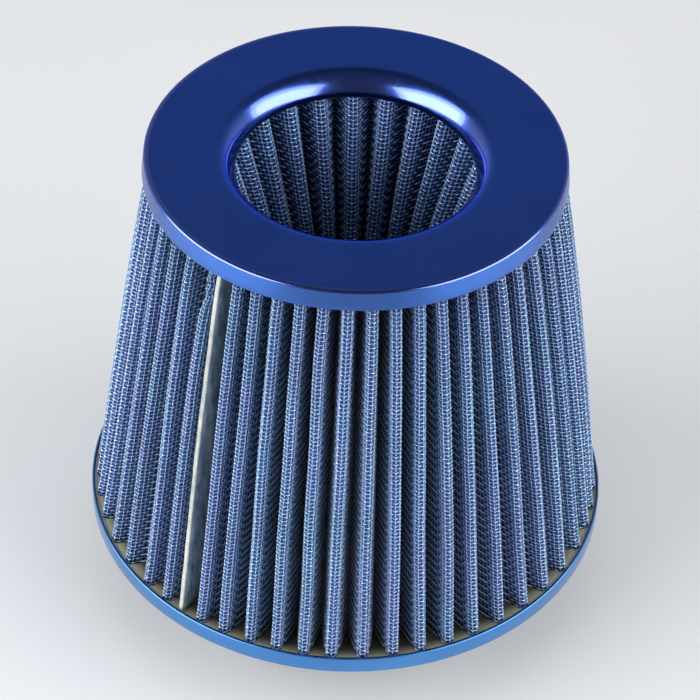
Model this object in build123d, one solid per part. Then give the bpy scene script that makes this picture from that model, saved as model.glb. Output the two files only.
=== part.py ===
# Cone air filter for a car's intake pipe: a pleated outer cone of wire cloth and gauze between an
# aluminium bell-mouth ring and an aluminium base ring, a smaller inverted pleated cone inside the
# mouth, and a moulded base with a clamped neck. Millimetres, +Z up, standing on the neck's rim.
import math
import os

from build123d import *

os.makedirs("parts", exist_ok=True)

# ------------------------------------------------------------------ driving dimensions
NECK_BORE_R = 38.0        # takes a 76 mm intake pipe
NECK_WALL = 3.0
NECK_BEAD_R = 42.0        # bead at the rim that keeps the clamp on
NECK_BEAD_H = 2.6
NECK_LEN = 25.0           # neck below the base ring
NECK_SLITS = 4
SLIT_W = 2.0
SLIT_TOP = 18.5
STOP_R = 36.5             # inner lip that the pipe stops against

BASE_R = 75.0             # base ring, outside
BASE_H = 5.4
BASE_WALL = 0.8
BASE_EDGE_R = 0.5
BASE_FLANGE_R = 68.5      # inner edge of the ring's turned-in flange
PLATE_T = 1.4
DAM_R = 57.5              # inner wall of the resin trough
DAM_T = 1.6
DAM_H = 5.0
BASE_RESIN_TOP = NECK_LEN + 4.4

TOP_Z = NECK_LEN + 126.0
TOP_R = 58.0              # lower edge of the skirt
TOP_FLAT_R = 57.2         # where the flat meets the flaring skirt
TOP_T = 0.8
SKIRT_H = 6.1
TOP_EDGE_R = 0.6
LIP_START_R = 38.4        # where the flat starts to roll into the mouth
LIP_R = 4.2               # tight bend first
LIP_TURN = 42.0
LIP_R2 = 10.7             # then a wide one
LIP_TURN2 = 70.0
LIP_END_Z = TOP_Z - 7.0
TOP_RESIN_LOW = TOP_Z - 4.9

SHEET_T = 1.4             # wire cloth, gauze, wire cloth
MESH_T = 0.38
GAP = 0.02                # between the layers

# outer pack
OUT_LOW_Z, OUT_HIGH_Z = NECK_LEN + 2.5, TOP_Z - 2.4
OUT_LOW_R, OUT_HIGH_R = 74.0, 56.4
OUT_DEPTH = 13.0
OUT_FOLD_R = 1.65
# crest angles in degrees from -Y towards +X, as they stand round the front at the lower and the upper
# end; the back is filled evenly
OUT_SEAM = -37.8
OUT_FRONT_LOW = [-80.4, -73.0, -64.7, -57.2, -49.2, -42.8, OUT_SEAM, -32.7, -26.8, -20.3, -14.1, -7.9, -1.8,
                 5.2, 11.9, 18.2, 24.8, 31.2, 38.2, 45.4, 52.8, 60.2, 68.1, 75.5]
OUT_FRONT_HIGH = [-78.5, -71.9, -64.5, -56.9, -49.5, -42.2, OUT_SEAM, -32.3, -26.6, -20.2, -13.9, -7.6, -1.0,
                  5.6, 12.0, 18.5, 24.7, 30.9, 37.0, 43.6, 50.4, 57.4, 64.9, 72.2]
OUT_PLEATS = 56
CLIP_HALF = 0.95
CLIP_WALL = 0.4
CLIP_BEND_R = 0.85
CLIP_DEPTH = 9.0

# inner cone: crests face the mouth
CONE_LOW_Z, CONE_HIGH_Z = NECK_LEN + 62.0, TOP_Z - 3.1
CONE_SLOPE = 0.30
CONE_HIGH_R = 35.09       # crests, at the upper end
CONE_DEPTH = 7.9
CONE_FOLD_R_LOW, CONE_FOLD_R_HIGH = 1.65, 2.1
CONE_PLEATS = 23
# crest angles in degrees from +Y towards +X for those on the far side; the rest are filled evenly
CONE_FAR = [-82.0, -66.0, -48.6, -33.4, -18.8, -3.0, 12.8, 27.8, 43.8, 56.8, 76.0]
CONE_CLIP_DEPTH = 5.2

CAP_T = 1.2
CAP_H = 7.0
CAP_LOW_Z = CONE_LOW_Z - 2.6

# hose clamp
BAND_W = 12.0
BAND_T = 0.7
BAND_MID_Z = 11.0
CLAMP_ANGLE = 150.0       # where the housing sits, degrees from +X


def unit(deg):
    return Vector(math.cos(math.radians(deg)), math.sin(math.radians(deg)), 0)


def left(v):
    return Vector(-v.Y, v.X, 0)


def at(v, z):
    return Vector(v.X, v.Y, z)


# ------------------------------------------------------------------ pleated sheets
def fold_tangent(a, ra, b, rb, side):
    """Points where a line touches circle a on one side and circle b on the other."""
    d = b - a
    dist = d.length
    d = d / dist
    n = left(d)
    if n.dot(side) < 0:
        n = -n
    ca = (ra + rb) / dist
    sa = math.sqrt(1 - ca * ca)
    m = d * ca + n * sa
    return a + m * ra, b - m * rb


def point_tangent(p, b, rb, side):
    """Point where a line from p touches circle b on the side away from the given direction."""
    d = b - p
    dist = d.length
    d = d / dist
    n = left(d)
    if n.dot(side) < 0:
        n = -n
    ca = rb / dist
    sa = math.sqrt(1 - ca * ca)
    m = d * ca + n * sa
    return b - m * rb


def pleat_path(angles, r_crest, depth, fold_r, t, out, seam_depth):
    """Edges of one layer's line round the pack at offset t from the face that shows. angles runs
    round anticlockwise and its first entry is the seam, where both ends stand side by side.
    out is +1 where the crests point away from the axis and -1 where they point towards it.
    Each entry is ("line", p, q) or ("arc", p, mid, q)."""
    n = len(angles)
    a_r, b_r = fold_r - t, fold_r - SHEET_T + t
    crest_c = r_crest - out * fold_r
    root_c = r_crest - out * (depth - fold_r)
    crests = [unit(x) * crest_c for x in angles]
    turns = [*angles[1:], angles[0] + 360.0]
    roots_deg = [(x + y) / 2 for x, y in zip(angles, turns)]
    roots = [unit(x) * root_c for x in roots_deg]
    s = (CLIP_HALF - CLIP_WALL) * (1 - t / SHEET_T) + 0.01
    seam_u = unit(angles[0])
    seam_t = left(seam_u)
    r_end = r_crest - out * (CLIP_WALL + 0.25)
    r_mouth = r_crest - out * seam_depth
    made = []
    # first end, just past the seam
    e0, m0 = seam_u * r_end + seam_t * s, seam_u * r_mouth + seam_t * s
    q = point_tangent(m0, roots[0], b_r, left(unit(roots_deg[0])))
    made += [("line", e0, m0), ("line", m0, q)]
    for k in range(n):
        # round the root that follows crest k
        root_u = unit(roots_deg[k])
        bottom = roots[k] - root_u * (out * b_r)
        if k + 1 < n:
            p_crest, p_root = fold_tangent(crests[k + 1], a_r, roots[k], b_r, -left(root_u))
        else:
            e1, m1 = seam_u * r_end - seam_t * s, seam_u * r_mouth - seam_t * s
            p_root = point_tangent(m1, roots[k], b_r, -left(root_u))
        made.append(("arc", q, bottom, p_root))
        if k + 1 == n:
            made += [("line", p_root, m1), ("line", m1, e1)]
            break
        made.append(("line", p_root, p_crest))
        nxt = unit(angles[k + 1])
        p_out, q = fold_tangent(crests[k + 1], a_r, roots[k + 1], b_r, left(nxt))
        made.append(("arc", p_crest, crests[k + 1] + nxt * (out * a_r), p_out))
        made.append(("line", p_out, q))
    return made


def edge_of(item, z):
    if item[0] == "line":
        return Edge.make_line(at(item[1], z), at(item[2], z))
    return Edge.make_three_point_arc(at(item[1], z), at(item[2], z), at(item[3], z))


def sheet_solid(low, high, z_low, z_high):
    """Closed solid between two offsets of a pack. low and high are (near path, far path) at the two ends."""
    faces = []
    ends = {}
    for i in (0, 1):
        low_edges = [edge_of(x, z_low) for x in low[i]]
        high_edges = [edge_of(x, z_high) for x in high[i]]
        faces += [Face.make_surface_from_curves(a, b) for a, b in zip(low_edges, high_edges)]
        ends[i] = (low_edges, high_edges)
    for which, z, paths in ((0, z_low, low), (1, z_high, high)):
        first = Edge.make_line(at(paths[0][0][1], z), at(paths[1][0][1], z))
        last = Edge.make_line(at(paths[0][-1][-1], z), at(paths[1][-1][-1], z))
        ends[2 + which] = (first, last)
        wire = Wire([*ends[0][which], last, *ends[1][which], first])
        faces.append(Face(wire))
    for j in (0, 1):
        faces.append(Face.make_surface_from_curves(ends[2][j], ends[3][j]))
    made = Solid(Shell(faces))
    return made if made.volume > 0 else Solid(Shell([-f for f in faces]))


def pack_layer(angles_low, angles_high, r_low, r_high, depth, fold_low, fold_high, z_low, z_high, t0, t1, out, seam_depth):
    low = [pleat_path(angles_low, r_low, depth, fold_low, t, out, seam_depth) for t in (t0, t1)]
    high = [pleat_path(angles_high, r_high, depth, fold_high, t, out, seam_depth) for t in (t0, t1)]
    return sheet_solid(low, high, z_low, z_high)


def fill_round(known, count, zero_deg, turn):
    """All crest angles in degrees from +X, anticlockwise, from the known ones and an even fill of the rest."""
    known = sorted(known)
    gaps = count - len(known) + 1
    span = 360.0 - (known[-1] - known[0])
    full = known + [known[-1] + span * i / gaps for i in range(1, gaps)]
    return sorted((zero_deg + turn * x) % 360.0 for x in full)


def from_seam(angles, seam):
    i = min(range(len(angles)), key=lambda k: abs(angles[k] - seam))
    return [x if x >= angles[i] - 1e-9 else x + 360.0 for x in angles[i:] + angles[:i]]


out_seam_deg = (270.0 + OUT_SEAM) % 360.0
out_low = from_seam(fill_round(OUT_FRONT_LOW, OUT_PLEATS, 270.0, 1.0), out_seam_deg)
out_high = from_seam(fill_round(OUT_FRONT_HIGH, OUT_PLEATS, 270.0, 1.0), out_seam_deg)
cone_angles = fill_round(CONE_FAR, CONE_PLEATS, 90.0, -1.0)

layers = {
    "mesh_face": (0.0, MESH_T),
    "gauze": (MESH_T + GAP, SHEET_T - MESH_T - GAP),
    "mesh_back": (SHEET_T - MESH_T, SHEET_T),
    "envelope": (-GAP, SHEET_T + GAP),
}


def outer_pack(key):
    t0, t1 = layers[key]
    return pack_layer(out_low, out_high, OUT_LOW_R, OUT_HIGH_R, OUT_DEPTH, OUT_FOLD_R, OUT_FOLD_R,
                      OUT_LOW_Z, OUT_HIGH_Z, t0, t1, +1, CLIP_DEPTH)


# The inner cone's seam stands on its clean side, so its line is drawn from that face: roots and
# crests change places, and the layers run the other way.
cone_roots = [(x + y) / 2 for x, y in zip(cone_angles, [*cone_angles[1:], cone_angles[0] + 360.0])]
cone_seam_deg = min(cone_roots, key=lambda x: abs(x % 360.0 - 262.0))
cone_order = from_seam(sorted(x % 360.0 for x in cone_roots), cone_seam_deg % 360.0)
CONE_LOW_R = CONE_HIGH_R - CONE_SLOPE * (CONE_HIGH_Z - CONE_LOW_Z)


def cone_pack(key):
    t0, t1 = layers[key]
    return pack_layer(cone_order, cone_order, CONE_LOW_R + CONE_DEPTH, CONE_HIGH_R + CONE_DEPTH, CONE_DEPTH,
                      CONE_FOLD_R_LOW, CONE_FOLD_R_HIGH, CONE_LOW_Z, CONE_HIGH_Z, t0, t1, +1, CONE_CLIP_DEPTH)


def seam_clip(deg, r_low, r_high, z_low, z_high, depth):
    """Folded channel that grips both ends of a pack, leaning with the cone."""
    def section(r):
        h, w, c = CLIP_HALF, CLIP_WALL, CLIP_BEND_R
        bend = [(r - c + c * math.sin(math.radians(a)), h - c * (1 - math.cos(math.radians(a)))) for a in (0, 22.5, 45, 67.5, 90)]
        pts = [(r - depth, h), *bend, *[(x, -y) for x, y in bend[::-1]], (r - depth, -h),
               (r - depth, -(h - w + 0.02)), (r - w - 0.1, -(h - w + 0.02)),
               (r - w - 0.1, h - w + 0.02), (r - depth, h - w + 0.02)]
        u = unit(deg)
        v = left(u)
        return [u * a + v * b for a, b in pts]
    low, high = section(r_low), section(r_high)
    faces = []
    n = len(low)
    for i in range(n):
        j = (i + 1) % n
        faces.append(Face.make_surface_from_curves(Edge.make_line(at(low[i], z_low), at(low[j], z_low)),
                                                   Edge.make_line(at(high[i], z_high), at(high[j], z_high))))
    for pts, z in ((low, z_low), (high, z_high)):
        faces.append(Face(Wire.make_polygon([at(p, z) for p in pts], close=True)))
    made = Solid(Shell(faces))
    return made if made.volume > 0 else Solid(Shell([-f for f in faces]))


# ------------------------------------------------------------------ turned and moulded pieces
def turned(points):
    """Solid of revolution about Z from a list of (r, z) points, where an entry ("arc", mid, end) bends."""
    edges = []
    here = points[0]
    for p in points[1:]:
        if p[0] == "arc":
            edges.append(Edge.make_three_point_arc((here[0], 0, here[1]), (p[1][0], 0, p[1][1]), (p[2][0], 0, p[2][1])))
            here = p[2]
        else:
            edges.append(Edge.make_line((here[0], 0, here[1]), (p[0], 0, p[1])))
            here = p
    edges.append(Edge.make_line((here[0], 0, here[1]), (points[0][0], 0, points[0][1])))
    return revolve(Face(Wire(edges)), Axis.Z, 360)


def arc_mid(c, r, deg):
    return (c[0] + r * math.cos(math.radians(deg)), c[1] + r * math.sin(math.radians(deg)))


LIP_C1 = (LIP_START_R, TOP_Z - LIP_R)
LIP_C2 = (LIP_START_R + (LIP_R2 - LIP_R) * math.sin(math.radians(LIP_TURN)),
          TOP_Z - LIP_R - (LIP_R2 - LIP_R) * math.cos(math.radians(LIP_TURN)))


def lip_point(tilt, inset):
    """Point of the bell mouth where it has turned by tilt degrees, on the face or inset behind it."""
    c, r = (LIP_C1, LIP_R) if tilt <= LIP_TURN else (LIP_C2, LIP_R2)
    return arc_mid(c, r - inset, 90.0 + tilt)


SKIRT_TILT = math.degrees(math.atan2(TOP_R - TOP_FLAT_R, SKIRT_H))


def skirt_r(drop, inset):
    """Radius of the skirt's face, or of a face inset behind it, at a drop below the flat."""
    a = math.radians(SKIRT_TILT)
    return TOP_FLAT_R + (drop * math.sin(a) - inset) / math.cos(a)


def make_top_ring():
    t, z = TOP_T, TOP_Z
    edge_c = (skirt_r(TOP_EDGE_R, TOP_EDGE_R), z - TOP_EDGE_R)
    face_end, back_end = lip_point(LIP_TURN2, 0.0), lip_point(LIP_TURN2, t)
    half1, half2 = LIP_TURN / 2, (LIP_TURN + LIP_TURN2) / 2
    return turned([
        (LIP_START_R, z),
        ("arc", lip_point(half1, 0.0), lip_point(LIP_TURN, 0.0)),
        ("arc", lip_point(half2, 0.0), face_end),
        (face_end[0], LIP_END_Z),
        (face_end[0] + t, LIP_END_Z),
        back_end,
        ("arc", lip_point(half2, t), lip_point(LIP_TURN, t)),
        ("arc", lip_point(half1, t), (LIP_START_R, z - t)),
        (skirt_r(t, t), z - t),
        (skirt_r(SKIRT_H, t), z - SKIRT_H),
        (TOP_R, z - SKIRT_H),
        arc_mid(edge_c, TOP_EDGE_R, SKIRT_TILT),
        ("arc", arc_mid(edge_c, TOP_EDGE_R, 45 + SKIRT_TILT / 2), (edge_c[0], z)),
    ])


def make_base_ring():
    t, z, e = BASE_WALL, NECK_LEN, BASE_EDGE_R
    return turned([
        (BASE_FLANGE_R, z),
        (BASE_R - e, z),
        ("arc", arc_mid((BASE_R - e, z + e), e, -45), (BASE_R, z + e)),
        (BASE_R, z + BASE_H),
        (BASE_R - t, z + BASE_H),
        (BASE_R - t, z + t),
        (BASE_FLANGE_R, z + t),
    ])


PLATE_LOW = NECK_LEN + BASE_WALL
PLATE_R = BASE_R - BASE_WALL - 0.5


def make_base_moulding():
    """Moulded base: plate, resin dam, neck with clamp bead, slits and gussets."""
    out_r = NECK_BORE_R + NECK_WALL
    body = turned([
        (NECK_BORE_R, 0.0),
        (NECK_BEAD_R - 0.5, 0.0),
        (NECK_BEAD_R, 0.6),
        (NECK_BEAD_R, NECK_BEAD_H - 0.6),
        (out_r, NECK_BEAD_H),
        (out_r, PLATE_LOW),
        (PLATE_R - 0.3, PLATE_LOW),
        (PLATE_R, PLATE_LOW + 0.3),
        (PLATE_R, PLATE_LOW + PLATE_T),
        (DAM_R + DAM_T, PLATE_LOW + PLATE_T),
        (DAM_R + DAM_T, PLATE_LOW + PLATE_T + DAM_H),
        (DAM_R, PLATE_LOW + PLATE_T + DAM_H),
        (DAM_R, PLATE_LOW + PLATE_T),
        (STOP_R + 1.2, PLATE_LOW + PLATE_T),
        (STOP_R, PLATE_LOW + PLATE_T - 0.8),
        (STOP_R, PLATE_LOW + 0.2),
        (NECK_BORE_R, PLATE_LOW + 0.2),
    ])
    for i in range(NECK_SLITS):
        u = 45.0 + 360.0 / NECK_SLITS * i
        slit = Box(8.0, SLIT_W, SLIT_TOP + 1.0, align=(Align.CENTER, Align.CENTER, Align.MIN))
        slit += Pos(0, 0, SLIT_TOP + 1.0) * Rot(0, 90, 0) * Cylinder(SLIT_W / 2, 8.0)
        body -= Rot(0, 0, u) * Pos(out_r - 1.5, 0, -1.0) * slit
    # gussets between neck and plate, clear of the clamp
    for i in range(8):
        tri = Face(Wire.make_polygon([(out_r - 0.5, 0, PLATE_LOW + 0.3), (out_r + 13.0, 0, PLATE_LOW + 0.3),
                                      (out_r + 13.0, 0, PLATE_LOW - 0.6), (out_r, 0, PLATE_LOW - 6.8),
                                      (out_r - 0.5, 0, PLATE_LOW - 6.8)], close=True))
        rib = extrude(tri, amount=0.9, dir=(0, 1, 0), both=True)
        body += Rot(0, 0, 22.5 + 45.0 * i) * rib
    # raised ring that stiffens the plate's underside
    rim = turned([(58.0, PLATE_LOW - 0.7), (59.6, PLATE_LOW - 0.7), (59.9, PLATE_LOW + 0.4), (57.7, PLATE_LOW + 0.4)])
    return body + rim


def make_base_resin():
    low = PLATE_LOW + PLATE_T + 0.02
    ring = turned([
        (DAM_R + DAM_T + 0.02, low), (PLATE_R, low), (BASE_R - BASE_WALL - 0.02, low + 0.5),
        (BASE_R - BASE_WALL - 0.02, BASE_RESIN_TOP + 0.25), (BASE_R - BASE_WALL - 0.9, BASE_RESIN_TOP),
        (DAM_R + DAM_T + 0.02, BASE_RESIN_TOP),
    ])
    return ring


def make_top_resin():
    t, z = TOP_T, TOP_Z
    g = 0.02
    # where the resin's lower face meets the back of the bell mouth
    low_turn = math.degrees(math.acos((TOP_RESIN_LOW - LIP_C2[1]) / (LIP_R2 - t - g)))
    return turned([
        lip_point(low_turn, t + g),
        ("arc", lip_point((low_turn + LIP_TURN) / 2, t + g), lip_point(LIP_TURN, t + g)),
        ("arc", lip_point(LIP_TURN / 2, t + g), (LIP_START_R, z - t - g)),
        (skirt_r(t + g, t + g), z - t - g),
        (skirt_r(z - TOP_RESIN_LOW, t + g), TOP_RESIN_LOW),
    ])


CAP_R = CONE_LOW_R + CONE_DEPTH + CONE_SLOPE * CAP_H + 1.6
CAP_RESIN_TOP = CAP_LOW_Z + CAP_H - 1.4


def make_cone_cap():
    t, z, r = CAP_T, CAP_LOW_Z, CAP_R
    return turned([
        (0.0, z), (r - 1.5, z), ("arc", arc_mid((r - 1.5, z + 1.5), 1.5, -45), (r, z + 1.5)),
        (r, z + CAP_H), (r - t, z + CAP_H), (r - t, z + 1.5),
        ("arc", arc_mid((r - 1.5, z + 1.5), 1.5 - t, -45), (r - 1.5, z + t)), (0.0, z + t),
    ])


def make_cap_resin():
    t, z, r = CAP_T + 0.02, CAP_LOW_Z, CAP_R
    return turned([
        (0.0, z + t), (r - 1.6, z + t), (r - t, z + 1.7), (r - t, CAP_RESIN_TOP + 0.2),
        (r - t - 0.8, CAP_RESIN_TOP), (0.0, CAP_RESIN_TOP),
    ])


# ------------------------------------------------------------------ hose clamp
def make_clamp():
    out_r = NECK_BORE_R + NECK_WALL + 0.03
    z0, z1 = BAND_MID_Z - BAND_W / 2, BAND_MID_Z + BAND_W / 2
    g = 0.02
    # band: a full turn, its tail lying over the start and running out past the housing
    band = turned([(out_r, z0), (out_r + BAND_T, z0), (out_r + BAND_T, z1), (out_r, z1)])
    tail_r = out_r + BAND_T
    tail = turned([(tail_r - 0.05, z0), (tail_r + BAND_T, z0), (tail_r + BAND_T, z1), (tail_r - 0.05, z1)])
    keep = Rot(0, 0, -21.0) * Pos(0, 0, 0) * (Box(120, 120, 80, align=(Align.MIN, Align.MIN, Align.CENTER)))
    keep = keep & (Rot(0, 0, 42.0 - 90.0) * Box(120, 120, 80, align=(Align.MIN, Align.MIN, Align.CENTER)))
    tail = tail & keep
    band = band + tail
    # slanted slots in the tail that the worm bites into
    for i in range(13):
        a = -18.0 + i * 4.6
        slot = Rot(0, 0, a) * Pos(tail_r + BAND_T, 0, BAND_MID_Z) * Rot(8.0, 0, 0) * Box(BAND_T * 1.6, 1.3, 7.0)
        band -= slot
    # housing: pressed bridge over the worm, seated on the band
    seat = tail_r + BAND_T + g
    worm_r = 4.0
    centre = seat + worm_r + 0.3
    wall = 1.0
    half = worm_r + 0.35 + wall
    saddle = Box(centre - seat + 0.2, 17.0, 2 * half, align=(Align.MIN, Align.CENTER, Align.CENTER))
    house = Pos(seat - 0.1, 0, 0) * saddle + Pos(centre, 0, 0) * Rot(90, 0, 0) * Cylinder(half, 17.0)
    house -= Pos(centre, 0, 0) * Rot(90, 0, 0) * Cylinder(worm_r + 0.35, 14.4)
    house -= Pos(centre, 0, 0) * Rot(90, 0, 0) * Cylinder(2.75, 40.0)
    house -= Pos(seat - 6, 0, 0) * Box(6 + centre - seat, 14.4, 2 * (worm_r + 0.35), align=(Align.MIN, Align.CENTER, Align.CENTER))
    # straps that fold round the band's edges and under it
    house = Pos(0, 0, BAND_MID_Z) * house
    arc_keep = Rot(0, 0, -11.5) * Box(120, 120, 80, align=(Align.MIN, Align.MIN, Align.CENTER))
    arc_keep = arc_keep & (Rot(0, 0, 11.5 - 90.0) * Box(120, 120, 80, align=(Align.MIN, Align.MIN, Align.CENTER)))
    ears = turned([(out_r + g, z1 + g), (seat + 1.6, z1 + g), (seat + 1.6, z1 + 0.9), (out_r + g, z1 + 0.9)])
    ears += turned([(out_r + g, z0 - 0.9), (seat + 1.6, z0 - 0.9), (seat + 1.6, z0 - g), (out_r + g, z0 - g)])
    ears += turned([(seat + 0.55, z0 - 0.9), (seat + 1.6, z0 - 0.9), (seat + 1.6, BAND_MID_Z - half + 0.3), (seat + 0.55, BAND_MID_Z - half + 0.3)])
    ears += turned([(seat + 0.55, BAND_MID_Z + half - 0.3), (seat + 1.6, BAND_MID_Z + half - 0.3), (seat + 1.6, z1 + 0.9), (seat + 0.55, z1 + 0.9)])
    house = house + (ears & arc_keep)
    # everything the housing shares with the band's own path is cleared
    house -= turned([(out_r - 1.0, z0 - g), (seat, z0 - g), (seat, z1 + g), (out_r - 1.0, z1 + g)])
    # worm screw: threaded body (fine thread left to the surface), neck, flanged hexagon head with slot
    bite = worm_r - 0.45
    screw = Rot(90, 0, 0) * Cylinder(bite, 14.0)
    screw += Rot(90, 0, 0) * Cylinder(2.65, 17.6)
    head_y = -(17.0 / 2 + 0.05)
    screw += Pos(0, head_y - 0.6, 0) * Rot(90, 0, 0) * Cylinder(5.0, 1.2)
    hexa = extrude(RegularPolygon(4.0, 6, major_radius=False), amount=4.6)
    screw += Pos(0, head_y - 1.2, 0) * Rot(90, 0, 0) * hexa
    screw -= Pos(0, head_y - 5.8, 0) * Box(12.0, 3.0, 1.2)
    screw += Pos(0, 17.0 / 2 + 0.35, 0) * Rot(90, 0, 0) * Cylinder(3.3, 0.6)
    screw = Pos(centre, 0, BAND_MID_Z) * screw
    turn = Rot(0, 0, CLAMP_ANGLE)
    return turn * band, turn * house, turn * screw


# ------------------------------------------------------------------ build
nodes = {}
nodes["outer_mesh_outside"] = outer_pack("mesh_face")
nodes["outer_gauze"] = outer_pack("gauze")
nodes["outer_mesh_inside"] = outer_pack("mesh_back")
nodes["cone_mesh_clean_side"] = cone_pack("mesh_face")
nodes["cone_gauze"] = cone_pack("gauze")
nodes["cone_mesh_mouth_side"] = cone_pack("mesh_back")
outer_env, cone_env = outer_pack("envelope"), cone_pack("envelope")

clip_low, clip_high = BASE_RESIN_TOP + 0.05, TOP_RESIN_LOW - 0.25


def out_r_at(z):
    return OUT_LOW_R + (OUT_HIGH_R - OUT_LOW_R) * (z - OUT_LOW_Z) / (OUT_HIGH_Z - OUT_LOW_Z)


def cone_r_at(z):
    return CONE_LOW_R + CONE_SLOPE * (z - CONE_LOW_Z) + CONE_DEPTH


nodes["outer_seam_clip"] = seam_clip(out_low[0], out_r_at(clip_low), out_r_at(clip_high), clip_low, clip_high, CLIP_DEPTH)
cone_clip_low = CAP_LOW_Z + CAP_H + 0.1
nodes["cone_seam_clip"] = seam_clip(cone_order[0], cone_r_at(cone_clip_low), cone_r_at(clip_high), cone_clip_low, clip_high, CONE_CLIP_DEPTH)

nodes["top_ring"] = make_top_ring()
nodes["base_ring"] = make_base_ring()
nodes["base_moulding"] = make_base_moulding()
nodes["base_resin"] = make_base_resin() - outer_env
nodes["top_resin"] = make_top_resin() - outer_env - cone_env
nodes["cone_end_cap"] = make_cone_cap()
nodes["cap_resin"] = make_cap_resin() - cone_env
nodes["clamp_band"], nodes["clamp_housing"], nodes["clamp_screw"] = make_clamp()

for name, shape in nodes.items():
    solids = shape.solids() if hasattr(shape, "solids") else [shape]
    keep = [s for s in solids if s.volume > 0.5]
    body = keep[0] if len(keep) == 1 else Compound(children=list(keep))
    box = body.bounding_box()
    print(name, "solids", len(keep), "of", len(solids), "volume", round(sum(s.volume for s in keep), 1),
          "z", round(box.min.Z, 2), round(box.max.Z, 2), "x", round(box.min.X, 2), round(box.max.X, 2))
    export_step(body, f"parts/{name}.step")
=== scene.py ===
import math

import bpy
import numpy as np
from mathutils import Matrix, Vector


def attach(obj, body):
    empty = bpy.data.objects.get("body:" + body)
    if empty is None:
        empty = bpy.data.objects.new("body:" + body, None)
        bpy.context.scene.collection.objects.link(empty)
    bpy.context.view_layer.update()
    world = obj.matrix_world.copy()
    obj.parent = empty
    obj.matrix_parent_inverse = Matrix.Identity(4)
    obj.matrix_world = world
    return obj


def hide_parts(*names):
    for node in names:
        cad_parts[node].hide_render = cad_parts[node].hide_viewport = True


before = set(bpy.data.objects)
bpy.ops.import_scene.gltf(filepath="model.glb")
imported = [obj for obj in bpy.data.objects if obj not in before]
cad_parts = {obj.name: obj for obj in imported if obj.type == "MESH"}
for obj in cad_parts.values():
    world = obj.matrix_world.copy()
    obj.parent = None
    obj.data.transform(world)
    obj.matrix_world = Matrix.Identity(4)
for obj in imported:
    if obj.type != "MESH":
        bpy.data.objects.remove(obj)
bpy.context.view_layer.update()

MM = 0.001
rng = np.random.default_rng(56)

# ------------------------------------------------------------------ dimensions (mm), as in the CAD
NECK_LEN = 25.0
BASE_R, BASE_H, BASE_WALL, BASE_EDGE_R, BASE_FLANGE_R = 75.0, 5.4, 0.8, 0.5, 68.5
BASE_RESIN_TOP = NECK_LEN + 4.4
TOP_Z = NECK_LEN + 126.0
TOP_R, TOP_FLAT_R, TOP_T, SKIRT_H, TOP_EDGE_R = 58.0, 57.45, 0.8, 6.1, 0.85
LIP_START_R, LIP_R, LIP_TURN, LIP_R2, LIP_TURN2 = 38.4, 4.2, 42.0, 10.7, 70.0
LIP_END_Z = TOP_Z - 7.0
TOP_RESIN_LOW = TOP_Z - 4.9
SHEET_T = 1.4
OUT_LOW_Z, OUT_HIGH_Z = NECK_LEN + 2.5, TOP_Z - 2.4
OUT_LOW_R, OUT_HIGH_R = 74.0, 56.4
OUT_DEPTH, OUT_FOLD_R = 13.0, 1.45
OUT_SEAM = -37.8
OUT_FRONT_LOW = [-80.4, -73.0, -64.7, -57.2, -49.2, -42.8, OUT_SEAM, -32.7, -26.8, -20.3, -14.1, -7.9, -1.8,
                 5.2, 11.9, 18.2, 24.8, 31.2, 38.2, 45.4, 52.8, 60.2, 68.1, 75.5]
OUT_FRONT_HIGH = [-78.5, -71.9, -64.5, -56.9, -49.5, -42.2, OUT_SEAM, -32.3, -26.6, -20.2, -13.9, -7.6, -1.0,
                  5.6, 12.0, 18.5, 24.7, 30.9, 37.0, 43.6, 50.4, 57.4, 64.9, 72.2]
OUT_PLEATS = 56
CLIP_HALF, CLIP_WALL, CLIP_BEND_R, CLIP_DEPTH = 0.66, 0.28, 0.30, 9.0
CONE_LOW_Z, CONE_HIGH_Z = NECK_LEN + 62.0, TOP_Z - 3.1
CONE_SLOPE, CONE_HIGH_R, CONE_DEPTH = 0.30, 35.09, 7.9
CONE_FOLD_R_LOW, CONE_FOLD_R_HIGH = 1.65, 2.1
CONE_PLEATS = 23
CONE_FAR = [-82.0, -66.0, -48.6, -33.4, -18.8, -3.0, 12.8, 27.8, 43.8, 56.8, 76.0]
CONE_CLIP_DEPTH = 5.2
CONE_LOW_R = CONE_HIGH_R - CONE_SLOPE * (CONE_HIGH_Z - CONE_LOW_Z)
CAP_TOP_Z = CONE_LOW_Z - 2.6 + 7.0
PITCH = 1.27              # wire cloth, 20 wires to the inch
WIRE_R = 0.17
PROUD = 0.13              # how far the round wires stand before the upright ones on the flanks
WEAVE = 0.155             # how far a wire swings out and in


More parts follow.
